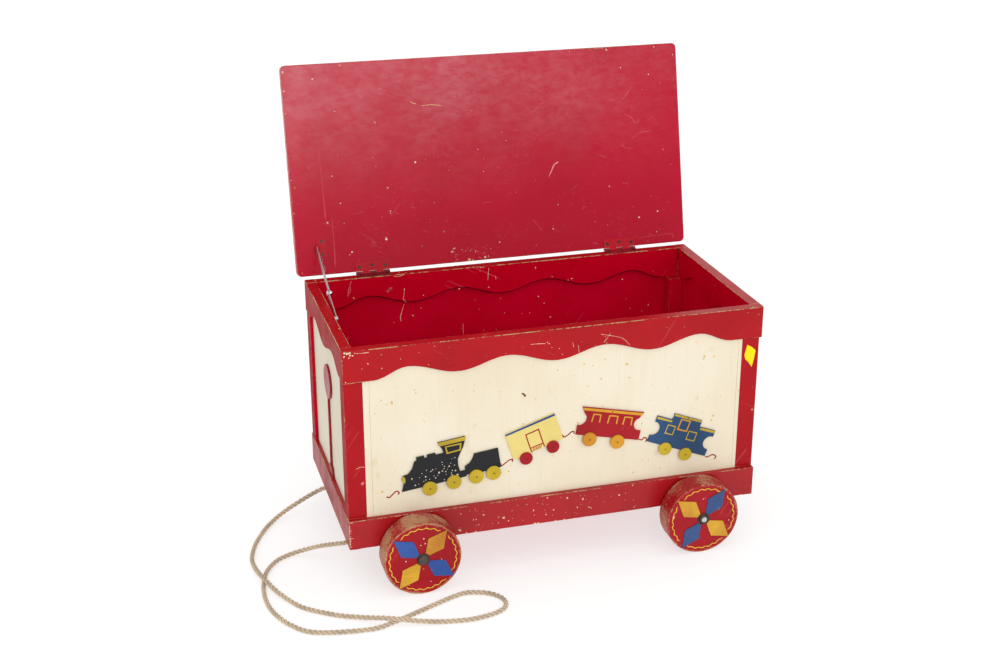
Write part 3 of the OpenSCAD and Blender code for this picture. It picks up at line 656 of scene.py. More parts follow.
# The lid's enamel, with a painted reflection toward its top left.
LID_RED = paint("lid_red", (183, 0, 42), (176, 0, 38), wear=0.58, reach=0.003, chips=0.15,
                marks=0.4, rough=0.26, grain=(0.5, 2.0, 2.0), shine=0.17, painted_sheen=True)
# Red for the floor and the inner faces of the sheets, made lighter: painted light inside the box.
LIT_INNER_RED = paint("lit_inner_red", (206, 0, 44), (192, 0, 36), chips=0.2, marks=0.1, rough=0.42,
                  shine=0.05)
WHEEL_RED = paint("wheel_red", (168, 16, 28), (148, 12, 24), wear=0.75, reach=0.003, chips=0.3)
CREAM = panel_paint("cream_paint", (232, 222, 200))
# Darker copy of the cream for the left end's sheet: painted shade on the side turned from the
# light.
SHADED_LEFT_CREAM = panel_paint("end_cream_paint", (216, 207, 188))
YELLOW = thin_paint("yellow_paint", (223, 178, 52), (176, 108, 40), 0.5, (0.5, 2.0, 4.0))
ORANGE = thin_paint("orange_paint", (212, 150, 38), (190, 124, 32), 0.3)
OLIVE = thin_paint("olive_paint", (204, 176, 42), (176, 150, 34), 0.4)
LINE_YELLOW = marking("line_yellow", (228, 188, 66), (214, 166, 52))
LINE_OLIVE = marking("line_olive", (200, 172, 48), (170, 144, 40))
LINE_ORANGE = marking("line_orange", (216, 160, 44), (196, 136, 36))
BLUE = thin_paint("blue_paint", (56, 92, 166), (44, 74, 140), 0.5)
DULL_BLUE = thin_paint("dull_blue_paint", (60, 86, 134), (48, 70, 112), 0.5)
DEEP_BLUE = car_paint("deep_blue_paint", (46, 78, 116), (36, 62, 94))
HATCH_BROWN = marking("line_brown", (190, 96, 44), (168, 70, 36))
BLACK = car_paint("black_paint", (36, 37, 40), (28, 29, 32), 0.2, 0.0)
STRAW = car_paint("straw_paint", (231, 212, 132), (221, 199, 116))
CAR_RED = car_paint("car_red", (166, 20, 30), (146, 14, 24))
LINE_BLUE = marking("line_blue", (52, 88, 150), (40, 70, 124))
LINE_RED = marking("line_red", (168, 34, 36), (146, 26, 30))
HINGE_RED = paint("hinge_red", (196, 8, 36), (172, 6, 30), wear=0.2, reach=0.0007,
                  wood=(150, 120, 104), chips=0.6)
HINGE_DARK = paint("hinge_dark", (146, 24, 36), (104, 22, 28), wear=0.5, reach=0.0009,
                   wood=(130, 112, 100), chips=0.8)
STICKER = marking("sticker_yellow", (255, 226, 10), (250, 214, 0), 0.5)
PRIMER = marking("bared_primer", (236, 206, 176), (214, 172, 132), 0.6)
PALE_SCUFF = marking("pale_scuff", (220, 116, 128), (204, 84, 98), 0.5)
PALE_RUB = marking("pale_rub", (232, 164, 172), (216, 132, 142), 0.5)
WHITE_SPOT = marking("white_spot", (238, 230, 216), (214, 198, 178), 0.6)
BROWN_STAIN = marking("brown_stain", (220, 192, 128), (206, 168, 102), 0.6)
DRIP = marking("lid_drip", (208, 76, 88), (196, 52, 66))
DARK_CORNER_LINE = marking("dark_corner_line", (48, 26, 22), (30, 18, 16), 0.7)
CAP_STEEL = steel("hub_cap_steel", (92, 84, 78), 0.42, 0.6, metallic=0.8)
BRIGHT = steel("bright_steel", (226, 230, 228), 0.18, 0.15)
RAW_WOOD = bare_wood("raw_wood", (198, 164, 118))
ZINC = steel("zinc", (212, 217, 214))
DARK_STEEL = steel("dark_steel", (84, 66, 60), 0.34, 0.5)
HOOK_RED = marking("hook_red", (156, 24, 30), (136, 20, 26))
RIM_TAN = marking("bared_rim", (206, 164, 116), (178, 128, 84), 0.6)
KNOT_BROWN = marking("knot_brown", (128, 66, 38), (98, 46, 30), 0.6)
EDGE_LINE = marking("edge_line", (196, 176, 138), (176, 152, 112), 0.6)
WAVE_SHADE = marking("wave_shade", (84, 0, 26), (66, 0, 22), 0.7, shine=0.05)
ROPE_TAN = rope_fibre("rope_tan", (250, 224, 190))


# ---- rope ----

def part_point(p):
    """A point from the chest's front left corner, as part of the shared frame."""
    return Vector((LEFT + p[0], FRONT + p[1], max(p[2], ROPE_R + 0.05)))


def rope_line(steps):
    return [part_point(p) for p in smooth_line(ROPE_ROUTE, steps)]


def respaced(line, step):
    """The same line with points step apart."""
    out = [line[0].copy()]
    left = step
    for a, b in zip(line, line[1:]):
        run = (b - a).length
        at = 0.0
        while run - at >= left:
            at += left
            out.append(a.lerp(b, at / run))
            left = step
        left -= run - at
    out.append(line[-1].copy())
    return out


def twisted(line, radius, lay, steps=8):
    """A rope of three strands around a line, as one skin with yarn and valley attributes."""
    strand = radius * 0.47
    offset = radius - strand
    widest = math.pi / 3 + math.asin(offset / strand * math.sin(math.pi / 3))
    lobe = [widest * (2 * k / steps - 1) for k in range(steps)]
    n = len(line)
    aheads = [(line[min(i + 1, n - 1)] - line[max(i - 1, 0)]).normalized() for i in range(n)]
    side = aheads[0].orthogonal().normalized()
    bm = bmesh.new()
    yarn = bm.verts.layers.float.new("yarn")
    valley = bm.verts.layers.float.new("valley")
    run, rings = 0.0, []
    for i, p in enumerate(line):
        run += (p - line[i - 1]).length if i else 0.0
        side = (side - aheads[i] * side.dot(aheads[i])).normalized()
        over = aheads[i].cross(side)
        ring = []
        for s in range(3):
            turn = math.tau * (run / lay + s / 3)
            out = side * math.cos(turn) + over * math.sin(turn)
            round_ = over * math.cos(turn) - side * math.sin(turn)
            for w in lobe:
                v = bm.verts.new(p + out * (offset + strand * math.cos(w))
                                 + round_ * strand * math.sin(w))
                v[yarn] = 1.2 * w - run / (lay * 0.10)
                # How far into the crease between strands a point lies; the rope paint darkens it
                # as painted shade.
                v[valley] = max(0.0, abs(w) / widest - 0.35) / 0.65
                ring.append(v)
        rings.append(ring)
    for a, b in zip(rings, rings[1:]):
        bridge(bm, a, b)
    bm.faces.new(list(reversed(rings[0])))
    bm.faces.new(rings[-1])
    return outside_out(bm)


def knot_line():
    """Two close turns around the rope's end, drawn along +X from the knot's face."""
    turns, r, steps = 2.0, 5.7, 64
    return [Vector((3.4 + 8.2 * t, r * math.cos(math.tau * turns * t),
                    r * math.sin(math.tau * turns * t)))
            for t in (i / steps for i in range(steps + 1))]


def add_rope():
    line = rope_line(12)
    fine = respaced(line, ROPE_STEP)
    rope = piece("rope_strands", twisted(fine, ROPE_R, ROPE_LAY), ROPE_TAN, "chest",
                 ["rope"], smooth=80)
    parts = []
    for end in (line[0], line[-1]):
        parts.append(moved(twisted(knot_line(), 3.0, 20.0), slid(end)))
        tail = [Vector((x, 0.3 * math.sin(x / 4), 0)) for x in range(26)]
        parts.append(moved(twisted(tail, 3.8, ROPE_LAY), slid(end)))
    knots = piece("rope_stopper_knots", joined(parts), ROPE_TAN, "chest",
                  ["rope_knots"], smooth=80)


# ---- chest ----

CORNERS = ("front_left", "front_right", "back_left", "back_right")


def facing(edge, axis):
    """True if an edge runs along the axis, 0 for X, 1 for Y and 2 for Z."""
    d = (edge.verts[1].co - edge.verts[0].co).normalized()
    return abs(d[axis]) > 0.99


def middle(edge):
    return (edge.verts[0].co + edge.verts[1].co) / 2


def near(a, b):
    return abs(a - b) < 0.1


def add_rails():
    for node in ("rail_front", "rail_back", "rail_left", "rail_right"):
        bm = cad_copy(node)
        ends = node in ("rail_left", "rail_right")
        centre = (LEFT + RIGHT) / 2 if ends else (FRONT + BACK) / 2
        mid = (span(node)[0] + span(node)[1]) / 2
        inward = 1 if (mid.x if ends else mid.y) < centre else -1
        for f in bm.faces:
            across = f.normal.x if ends else f.normal.y
            # Inside faces take the lighter copy of the paint, painted light; the left end rail's
            # outer face takes the darker copy, painted shade.
            f.material_index = (1 if across * inward > 0.5
                                else 2 if f.normal.x < -0.5 and ends else 0)
        split_long(bm, 14)
        if ends:
            outer = LEFT if node == "rail_left" else RIGHT
            soften(bm, 2.4, 4, lambda e: facing(e, 2) and near(middle(e).x, outer))
            soften(bm, 1.3, 3, lambda e: near(middle(e).z, RAIL_TOP)
                   and not near(middle(e).y, FRONT) and not near(middle(e).y, BACK))
        else:
            soften(bm, 1.3, 3, lambda e: facing(e, 0) and near(middle(e).z, RAIL_TOP))
            soften(bm, 1.1, 2, lambda e: not facing(e, 2) and middle(e).z < RAIL_TOP - 20
                   and (near(middle(e).y, FRONT) or near(middle(e).y, BACK)))
        wear_down(bm, 0.3, seed=len(node))
        piece(node + "_board", bm, [RAIL_RED, LIT_INNER_RAIL_RED, SHADED_LEFT_RED], replaced=[node])


def add_wave_shade():
    """The dark line under the waves of the back rail, seen from inside."""
    face = BACK - BOARD_T
    bm = cad_copy("rail_back")
    edge = sorted((v.co.x, v.co.z) for v in bm.verts
                  if near(v.co.y, face) and v.co.z < RAIL_TOP - 15
                  and LEFT + 42 < v.co.x < RIGHT - 45)
    bm.free()
    line = [(x - LEFT, z + 0.75, 0.8 + 0.4 * noise.noise(Vector((x / 20, 0, 0)))) for x, z in edge]
    piece("back_wave_shade", moved(stroke(line, 1.8, -0.05, 0.06), on_front(face)), WAVE_SHADE)


def add_posts():
    for node in ["post_" + corner for corner in CORNERS]:
        bm = cad_copy(node)
        split_long(bm, 16)
        to_right = 1 if node.endswith("left") else -1
        to_back = 1 if "front" in node else -1
        for f in bm.faces:
            inside = f.normal.x * to_right > 0.5 or f.normal.y * to_back > 0.5
            # Inside faces take the lighter copy of the paint, painted light; the left posts' left
            # faces take the darker copy, painted shade.
            f.material_index = 2 if inside else int(f.normal.x < -0.5 and to_right > 0)
        soften(bm, 1.0, 3, lambda e: facing(e, 2))
        wear_down(bm, 0.25, seed=2.0)
        piece(node + "_leg", bm, [POST_RED, SHADED_LEFT_POST_RED, LIT_INNER_POST_RED], replaced=[node])


def add_panels():
    for node, inward in (("panel_front", (0, 1)), ("panel_back", (0, -1)),
                         ("panel_left", (1, 0)), ("panel_right", (-1, 0))):
        bm = cad_copy(node)
        for f in bm.faces:
            # Inner faces take the lighter inside paint, painted light.
            f.material_index = int(f.normal.x * inward[0] + f.normal.y * inward[1] > 0.5)
        # The left end's sheet takes the darker cream, painted shade.
        cream = SHADED_LEFT_CREAM if node == "panel_left" else CREAM
        piece(node + "_sheet", bm, [cream, LIT_INNER_RED], "chest", [node])


def add_base_floor_and_lid():
    for node in ("base_front", "base_back", "base_left", "base_right"):
        bm = cad_copy(node)
        for f in bm.faces:
            # The left end's faces take the darker copy of the base paint, painted shade.
            f.material_index = int(f.normal.x < -0.5 and f.calc_center_median().x < LEFT + 1)
        low, high = span(node)
        along = 0 if node in ("base_front", "base_back") else 1
        first, last = low[along] + BOARD_T, high[along] - BOARD_T
        split_long(bm, 16)
        soften(bm, 1.6, 3, lambda e: facing(e, along) and first < middle(e)[along] < last
               and (near(middle(e).z, low.z) or near(middle(e).z, high.z)))
        wear_down(bm, 0.3, seed=len(node) * 2.0)
        piece(node + "_board", bm, [BASE_RED, SHADED_LEFT_BASE_RED], replaced=[node])
    # The floor takes the lighter inside paint, painted light.
    cad_piece("floor_sheet", "floor_board", LIT_INNER_RED, 0.4, 1)
    cad_piece("lid_panel", "lid_board", LID_RED, 2.2, 4, "lid", 16, 0.45, seed=5.0)


# ---- wheels ----

def wheel_face(corner, lift=0.0):
    """Matrix from a drawing to a wheel's outer face, or to lift millimetres off it."""
    low, high = span("wheel_" + corner)
    x, z = (low.x + high.x) / 2, (low.z + high.z) / 2
    if corner.startswith("front"):
        return slid((x, low.y - lift, z)) @ TO_FRONT
    return slid((x, high.y + lift, z)) @ spun("Z", 180) @ TO_FRONT


WHEEL_R = 68.0
WHEEL_W = span("wheel_front_left")[1].y - span("wheel_front_left")[0].y
BORE_R = 4.8
RIM_R = 2.6
RING_R, RING_WAVES = 58.4, 27
BARE_RIM_R = 66.2
FIRST_DIAMOND = 50
# By wheel, in the order of CORNERS: the tread's wear and how much of the rim is bare.
WHEEL_WEAR = (0.8, 0.62, 0.62, 0.62)
BARE_RIM = (0.3, 0.0, 0.05, 0.1)


def wheel_mesh(seed, worn):
    r, e, w = WHEEL_R, RIM_R, WHEEL_W
    profile = [(BORE_R, -w), (30.0, -w), (r - e, -w)]
    profile += arc(r - e, e - w, e, -90, 0, 4)[1:]
    profile += [(r, z) for z in (-w * 0.75, -w * 0.5, -w * 0.25)]
    profile += arc(r - e, -e, e, 0, 90, 5)
    profile += [(r - 7, 0), (r - 16, 0), (30.0, 0), (BORE_R, 0)]
    bm = lathe(profile, 144)
    rub = bm.verts.layers.float.new("rub")
    bm.normal_update()
    for v in bm.verts:
        out = math.hypot(v.co.x, v.co.y)
        if out < r - e - 1:
            continue
        patch = noise.noise(v.co / 34 + Vector((seed, 0, 0)))
        v[rub] = max(0.1, min(1.0, worn * (0.8 + 1.3 * patch)))
        dent = noise.noise(v.co / 7 + Vector((seed, seed, 0))) + 0.3
        v.co -= v.normal * 0.5 * max(0.0, dent)
    return bm


def ring_stroke(seed):
    """The wavy painted ring in four runs between the diamonds' points."""
    runs = []
    for quarter in range(4):
        start = FIRST_DIAMOND + 90 * quarter + 7.5
        line = []
        for k in range(91):
            a = start + 75 * k / 90
            wob = noise.noise(Vector((a / 7, seed, quarter)))
            r = RING_R + 1.15 * math.sin(math.radians(RING_WAVES * a) + wob) + 0.6 * wob
            share = 0.9 + 0.55 * noise.noise(Vector((a / 5, seed + 9, 0)))
            share *= min(1.0, 0.25 + k / 6, 0.25 + (90 - k) / 6)
            a = math.radians(a)
            line.append((r * math.cos(a), r * math.sin(a), share))
        runs.append(stroke(line, 1.75, -0.05, 0.12))
    return joined(runs)


def rim_line(seed, fill):
    """The bare edge of a disc, broken where the paint has held."""
    runs, line = [], []
    for k in range(361):
        n = noise.noise(Vector((k / 9, seed, 3))) + 0.5 * noise.noise(Vector((k / 3, seed, 7)))
        a = math.radians(k)
        if n + fill > 0 and k < 360:
            r = BARE_RIM_R + 0.3 * noise.noise(Vector((k / 5, seed, 1)))
            line.append((r * math.cos(a), r * math.sin(a), 0.35 + min(1.1, n + fill)))
            continue
        if len(line) > 2:
            runs.append(stroke(line, 1.15, -0.6, -0.04))
        line = []
    return joined(runs)


DIAMOND = [(12, -4), (35.5, -17.3), (66, 0), (35.5, 17.3), (12, 4)]
DIAMOND_T = 1.5
# Degrees by which single diamonds are painted off the cross, by wheel and pair.
DIAMOND_TURNS = {("front_right", 0): (4, 4), ("front_left", 1): (0, 4)}


def diamond(turn, seed):
    bm = prism(DIAMOND, -0.05, DIAMOND_T)
    split_long(bm, 6)
    soften(bm, 0.35, 2)
    wear_down(bm, 0.18, 9, seed)
    return moved(bm, spun("Z", turn))


def hub_cap(flat):
    if flat:
        profile = [(0, -0.4), (10.9, -0.4), (10.9, 0.9)] + arc(10.0, 0.9, 0.9, 0, 180, 6)
        profile += [(8.6, 0.7), (8.2, 1.2)] + arc(5.6, 1.4, 2.6, 0, 90, 5) + [(0, 4.4)]
    else:
        profile = [(0, -0.4), (10.9, -0.4), (10.9, 0.5), (10.2, 1.1)]
        profile += [(9.6 * math.cos(math.radians(a)), 1.0 + 5.0 * math.sin(math.radians(a)))
                    for a in range(0, 90, 9)] + [(0, 6.0)]
    return lathe(profile, 40)


def add_wheels():
    caps = []
    tints = {"front_left": (YELLOW, BLUE), "front_right": (DULL_BLUE, YELLOW),
             "back_left": (BLUE, YELLOW), "back_right": (YELLOW, DULL_BLUE)}
    for i, (corner, colours) in enumerate(tints.items()):
        node = "wheel_" + corner
        face = wheel_face(corner)
        disc = wheel_mesh(3.0 * i, WHEEL_WEAR[i])
        piece(node + "_disc", moved(disc, face), WHEEL_RED, node, replaced=[node], smooth=50)
        piece("painted_ring_" + corner, moved(ring_stroke(2.0 + i), face), LINE_YELLOW, node)
        rim = rim_line(4.0 + i, BARE_RIM[i])
        piece("bare_rim_" + corner, moved(rim, face), RIM_TAN, node)
        for k, colour in enumerate(colours):
            lean = DIAMOND_TURNS.get((corner, k), (0, 0))
            first = FIRST_DIAMOND + 90 * k
            pair = joined([diamond(first + 180 * half + lean[half], i + k + half)
                           for half in (0, 1)])
            tint = "yellow" if colour is YELLOW else "blue"
            piece(tint + "_diamonds_" + corner, moved(pair, face), colour, node,
                  ["diamonds_" + corner])
        caps.append(moved(hub_cap(corner.endswith("right")), wheel_face(corner, 0.5)))
    piece("hub_cap_domes", joined(caps), CAP_STEEL, "chest", ["hub_caps"], smooth=50)


# ---- train ----

PANEL_FACE = span("panel_front")[0].y
CAR_T = 3.0
# Each car's place on the panel from the chest's left and the floor, and its tilt in degrees.
CARS = {"engine": ((143, 174), 7), "boxcar": ((293, 206.5), 18), "coach": ((405, 240), -12.5),
        "caboose": ((540, 208.5), -21.5)}


def on_panel(at, tilt):
    return slid((LEFT + at[0], PANEL_FACE, at[1])) @ TO_FRONT @ spun("Z", tilt)


# Hooks and marks land 3 mm to the left of and 4 mm above the place they are drawn at.
ON_PANEL = on_panel((-3, 4), 0)


def patch(points):
    """A painted area on a car's face."""
    return prism(points, CAR_T - 0.05, CAR_T + 0.14)


def on_car(points, width, thick):
    """A painted line on a car's face."""
    return stroke(points, width, CAR_T - 0.05, CAR_T + thick)


def band(outer, inner):
    """A painted frame between two outlines with as many points."""
    bm = bmesh.new()
    loops = []
    for z in (CAR_T - 0.05, CAR_T + 0.16):
        for ring in (outer, inner):
            loops.append([bm.verts.new((x, y, z)) for x, y in ring])
    outer_low, inner_low, outer_high, inner_high = loops
    for a, b in ((outer_low, outer_high), (outer_high, inner_high),
                 (inner_high, inner_low), (inner_low, outer_low)):
        bridge(bm, a, b)
    return outside_out(bm)


def frame_of(x0, y0, x1, y1, w, skew=0.0):
    """A hand-painted window frame."""
    outer = [(x0 + skew, y0), (x1, y0 + skew), (x1 - skew, y1), (x0, y1 - skew)]
    inner = [(x0 + w, y0 + w + skew), (x1 - w * 0.9, y0 + w), (x1 - w, y1 - w - skew),
             (x0 + w * 0.9, y1 - w)]
    return band(outer, inner)


def car_piece(car, name, parts, material, replaced=()):
    bm = moved(joined(parts), on_panel(*CARS[car]))
    piece(name, bm, material, "chest", replaced)


def car_wheel(x, y, r):
    profile = [(0, -0.02), (r, -0.02), (r, 2.3)] + arc(r - 0.7, 2.3, 0.7, 0, 90, 3)[1:]
    profile += [(r * 0.5, 2.95), (0, 2.9)]
    return moved(lathe(profile, 40), slid((x, y, CAR_T)))


def nail(x, y, lift, r=1.4):
    profile = [(0, -2.0), (0.7, -2.0), (0.7, 0.0), (r, 0.0), (r * 0.8, 0.3), (0, 0.4)]
    return moved(lathe(profile, 12), slid((x, y, lift)))


def add_train():
    for car, colour, slot in (("engine", BLACK, "black_paint"),
                              ("boxcar", STRAW, "straw_paint"),
                              ("coach", CAR_RED, "red_paint"),
                              ("caboose", DEEP_BLUE, "blue_paint")):
        cad_piece(car + "_cutout", "train_" + car, colour, 0.4, step=8, worn=0.15,
                  pitch=8, seed=4.0)
    wheels = {"engine": [(0, 0, 13), (43, 1, 13), (83, 1, 13), (114, 0, 13)],
              "boxcar": [(21, -6, 11.5), (72, -6, 11.5)],
              "coach": [(27, -6, 13), (80, -6, 13)],
              "caboose": [(37, -4.5, 12), (79, -5, 12)]}
    tints = {"engine": (OLIVE, "yellow_paint"), "boxcar": (CAR_RED, "red_paint"),
             "coach": (ORANGE, "yellow_paint"), "caboose": (OLIVE, "yellow_paint")}
    nails = []
    for car, places in wheels.items():
        colour, slot = tints[car]
        node = "train_wheels_red" if car == "boxcar" else "train_wheels_yellow"
        car_piece(car, car + "_wheels", [car_wheel(*w) for w in places], colour, [node])
        heads = [nail(w[0] + 0.4, w[1] - 0.3, 2 * CAR_T - 0.05) for w in places]
        roof = {"boxcar": (47, 51), "coach": (58, 49), "caboose": (57, 61)}.get(car)
        if roof:
            heads.append(nail(*roof, CAR_T + 0.1, 1.2))
        nails.append(moved(joined(heads), on_panel(*CARS[car])))
    piece("train_nail_heads", joined(nails), DARK_STEEL, "chest", ["train_nails"])
    lamp = [(-41.8 + 2.7 * math.cos(a), 27 + 6.6 * math.sin(a))
            for a in (math.tau * k / 20 for k in range(20))]
    roof = [(28.6, 73.6), (26.3, 77), (26.3, 80.8), (73.7, 80.8), (73.7, 77), (72.2, 73.6)]
    window = band([(37.6, 56.2), (63.4, 57.0), (66.0, 70.6), (36.6, 71.2)],
                  [(40.4, 58.9), (60.9, 59.6), (62.8, 68.2), (39.2, 68.8)])
    car_piece("engine", "engine_yellow_trim", [patch(lamp), patch(roof), window], LINE_OLIVE)
    car_piece("boxcar", "boxcar_roof_strip", [patch([(0.4, 49), (93.6, 48.7), (93.6, 52.6),
                                                     (0.4, 52.6)])], LINE_BLUE)
    door = [on_car([(34, 0.6), (33.8, 18), (34.2, 37)], 2.1, 0.15),
            on_car([(58.4, 0.6), (58.1, 20), (58.4, 37.2)], 2.1, 0.16),
            on_car([(33.4, 36.6), (46, 36.2), (59.2, 36.8)], 2.3, 0.18),
            on_car([(34, 8.2), (46, 8.6), (58, 8.0)], 1.7, 0.17)]
    car_piece("boxcar", "boxcar_door_lines", door, LINE_RED)
    hatch = [on_car([(35.5 + 3 * k, 0.8), (38 + 3 * k, 3.8), (39.8 + 3 * k, 7.6)],
                    1.3, 0.1 + 0.01 * k) for k in range(6)]
    car_piece("boxcar", "boxcar_door_boards", hatch, HATCH_BROWN)
    parts = [patch([(5.0, 46.8), (2.6, 51.6), (116.4, 51.6), (114.2, 46.8)])]
    for a, b in ((24.2, 38), (54.2, 70.3), (83.2, 98)):
        parts.append(on_car([(a - 0.6, 26.5), (a, 34), (a + 0.3, 40.8)], 2.3, 0.14))
        parts.append(on_car([(b + 0.6, 26.8), (b, 34), (b - 0.2, 40.8)], 2.2, 0.15))
        top = [(a - 0.9, 41), ((a + b) / 2, 41.5), (b + 0.9, 40.9)]
        parts.append(on_car(top, 2.4, 0.17))
    car_piece("coach", "coach_orange_trim", parts, LINE_ORANGE)
    strips = [patch([(-0.6, 45.4), (29, 46.0), (30, 49.0), (-0.6, 49.6)]),
              patch([(29.8, 58.8), (85.5, 59.2), (85.5, 62.6), (29.8, 62.6)]),
              patch([(88, 45.6), (118.4, 46.2), (118.4, 50.4), (88, 50.0)]),
              frame_of(24, 22.5, 41, 41, 2.0, 0.4), frame_of(68, 21, 86.5, 39.5, 2.1, 0.5)]
    car_piece("caboose", "caboose_olive_trim", strips, LINE_OLIVE)
    car_piece("caboose", "caboose_orange_frame", [frame_of(44.5, 35, 65, 57.4, 2.5, 0.3)],
              LINE_ORANGE)


HOOKS = [
    [(71, 163), (76, 161), (83, 167), (88, 171), (93, 168), (91, 164)],
    [(273, 198), (274, 193), (281, 197), (288, 202), (294, 203), (294, 198)],
    [(384, 238), (388, 233), (396, 237), (401, 241), (405, 241), (406, 237)],
    [(527, 210), (533, 208), (536, 212), (541, 210), (542, 206), (539, 204)],
    [(656, 159), (660, 157), (668, 160), (674, 159), (677, 155), (674, 151)],
]


def add_hooks():
    parts = []
    for i, points in enumerate(HOOKS):
        line = [(p.x, p.y, 0.75 + 0.5 * abs(noise.noise(Vector((k / 3, i, 0)))))
                for k, p in enumerate(smooth_line([(x, z, 0) for x, z in points], 6))]
        parts.append(moved(stroke(line, 2.8, -0.05, 0.12), ON_PANEL))
    piece("painted_hooks", joined(parts), HOOK_RED)


# ---- metal ----

JOINT = {j["name"]: j for j in frame["joints"]}
PIN = Vector(JOINT["lid_hinge"]["pos_m"]) / MM
FOOT = Vector(JOINT["stay_lower_pivot"]["pos_m"]) / MM
LEAN = JOINT["lid_hinge"]["range_deg"][1] - 90
ON_LID = slid((0, PIN.y, PIN.z)) @ spun("X", -LEAN)
TO_RIGHT = spun("Y", 90)


def slotted_head(r, turn, depth=0.9):
    """A flat screw head with its slot, its face at z = 0."""
    half = 0.13 * r
    a = math.asin(half / r)
    steps = 10
    cap = [(r * math.cos(a + (math.pi - 2 * a) * k / steps),
            r * math.sin(a + (math.pi - 2 * a) * k / steps)) for k in range(steps + 1)]
    under = prism([(r * 0.99 * math.cos(math.tau * k / 20), r * 0.99 * math.sin(math.tau * k / 20))
                   for k in range(20)], -depth, -0.55)
    parts = [prism(cap, -0.6, 0), prism([(-x, -y) for x, y in cap], -0.6, 0), under]
    return moved(joined(parts), spun("Z", turn))


SCREW_R = 3.2
HINGE_W = 63.5
LEAF_SCREWS = ((-24.5, 11), (0, 13), (24.5, 11))
BRACKET_SCREWS = (-12, 12)
RAIL_BRACKET_T = 1.55
LID_BRACKET_X = 38.0
LID_BRACKET_UP = 53


def add_hinges_and_screws():
    for node, material, body, slot in (
            ("hinge_leaves_chest", HINGE_DARK, "chest", "painted_steel"),
            ("hinge_leaves_lid", HINGE_RED, "lid", "painted_steel"),
            ("hinge_pins", ZINC, "chest", "zinc_steel")):
        cad_piece(node + "_plates", node, material, 0.25, body=body)
    chest, lid = [], []
    low, high = span("hinge_pins")
    for i, x in enumerate((low.x + HINGE_W / 2, high.x - HINGE_W / 2)):
        for k, (across, out) in enumerate(LEAF_SCREWS):
            turn = 37 * (k + 3 * i) + 11
            chest.append(moved(slotted_head(SCREW_R, turn),
                               slid((x + across, PIN.y - out, PIN.z - 0.2))))
            lid.append(moved(slotted_head(SCREW_R, turn + 50), ON_LID
                             @ slid((x + across, 0.2, out)) @ TO_FRONT))
    plate = span("rail_left")[0].x + BOARD_T + RAIL_BRACKET_T
    for k, dy in enumerate(BRACKET_SCREWS):
        chest.append(moved(slotted_head(SCREW_R, 70 + 40 * k),
                           slid((plate, FOOT.y + dy, FOOT.z)) @ TO_RIGHT))
    x = LEFT + LID_BRACKET_X
    for k, up in enumerate(BRACKET_SCREWS):
        lid.append(moved(slotted_head(SCREW_R, 20 + 60 * k), ON_LID
                         @ slid((x, 0.15, LID_BRACKET_UP + up)) @ TO_FRONT))
    piece("chest_screw_heads", joined(chest), DARK_STEEL, "chest", ["chest_screws"])
    piece("lid_screw_heads", joined(lid), DARK_STEEL, "lid", ["lid_screws"])


def add_stay():
    for node, material, body, slot in (
            ("stay_rail_bracket", ZINC, "chest", "zinc_steel"),
            ("stay_lower_arm", ZINC, "stay_lower", "zinc_steel"),
            ("stay_lower_washer", ZINC, "stay_lower", "zinc_steel"),
            ("stay_upper_arm", ZINC, "stay_upper", "zinc_steel"),
            ("stay_rivet", BRIGHT, "stay_upper", "zinc_steel"),
            ("stay_spring", ZINC, "stay_upper", "zinc_steel"),
            ("stay_lid_bracket", HINGE_RED, "lid", "painted_steel")):
        cad_piece(node + "_plate", node, material, 0.2, body=body)


def add_brake():
    for node, width in (("brake_wheel", 1.0), ("brake_staff", 0.8), ("brake_step", 0.8)):
        cad_piece(node + "_cutout", node, BRAKE_RED, width, 3, step=12,
                  worn=0.2, pitch=10, seed=1.0)
    low, high = span("brake_wheel")
    y, z = (low.y + high.y) / 2, (low.z + high.z) / 2
    out = spun("Y", -90)
    parts = [moved(slotted_head(2.6, 25), slid((low.x + 0.05, y - 1, z + 19)) @ out)]
    hub = lathe([(0, -0.3), (4.6, -0.3), (4.6, 0.0), (3.6, 0.0), (0, 0.0)], 20)
    parts.append(moved(hub, slid((low.x + 0.05, y, z)) @ out))
    piece("brake_screw_and_hub", joined(parts), DARK_STEEL, "chest")


def add_running_gear():
    for node, material, slot in (("axle_left", ZINC, "zinc_steel"),
                                 ("axle_right", ZINC, "zinc_steel"),
                                 ("axle_spacers", DARK_STEEL, "dark_steel")):
        cad_piece(node + "_steel", node, material, 0.2)
    for node in ("axle_block_left", "axle_block_right"):
        cad_piece(node + "_beam", node, RAW_WOOD, 0.8)


# ---- marks of use: thin flakes and scratches on the paint ----

ON_LID_FACE = ON_LID @ slid((LEFT, 1.7, 0)) @ TO_FRONT


def on_front(y):
    """Matrix from drawings in the chest's x and z to a face turned to the front at y."""
    return slid((LEFT, y, 0)) @ TO_FRONT


def flake(x, y, r, rng, thick=0.2, longest=1.5):
    """A chip with an uneven outline."""
    stretch = rng.uniform(0.7, longest)
    turn = rng.uniform(0, math.pi)
    points = []
    for k in range(8):
        a = math.tau * k / 8
        reach = r * rng.uniform(0.7, 1.2)
        u, v = reach * stretch * math.cos(a), reach * math.sin(a)
        points.append((x + u * math.cos(turn) - v * math.sin(turn),
                       y + u * math.sin(turn) + v * math.cos(turn)))
    return prism(points, -0.05, thick)


def flakes(spots, seed, matrix, longest=1.5):
    rng = random.Random(seed)
    return moved(joined([flake(x, y, r, rng, longest=longest) for x, y, r in spots]), matrix)


def scattered(count, low, high, small, large, seed):
    """Random spots in a rectangle, with far more small ones than large ones."""
    rng = random.Random(seed)
    return [(rng.uniform(low[0], high[0]), rng.uniform(low[1], high[1]),
             small + (large - small) * rng.random() ** 3) for _ in range(count)]


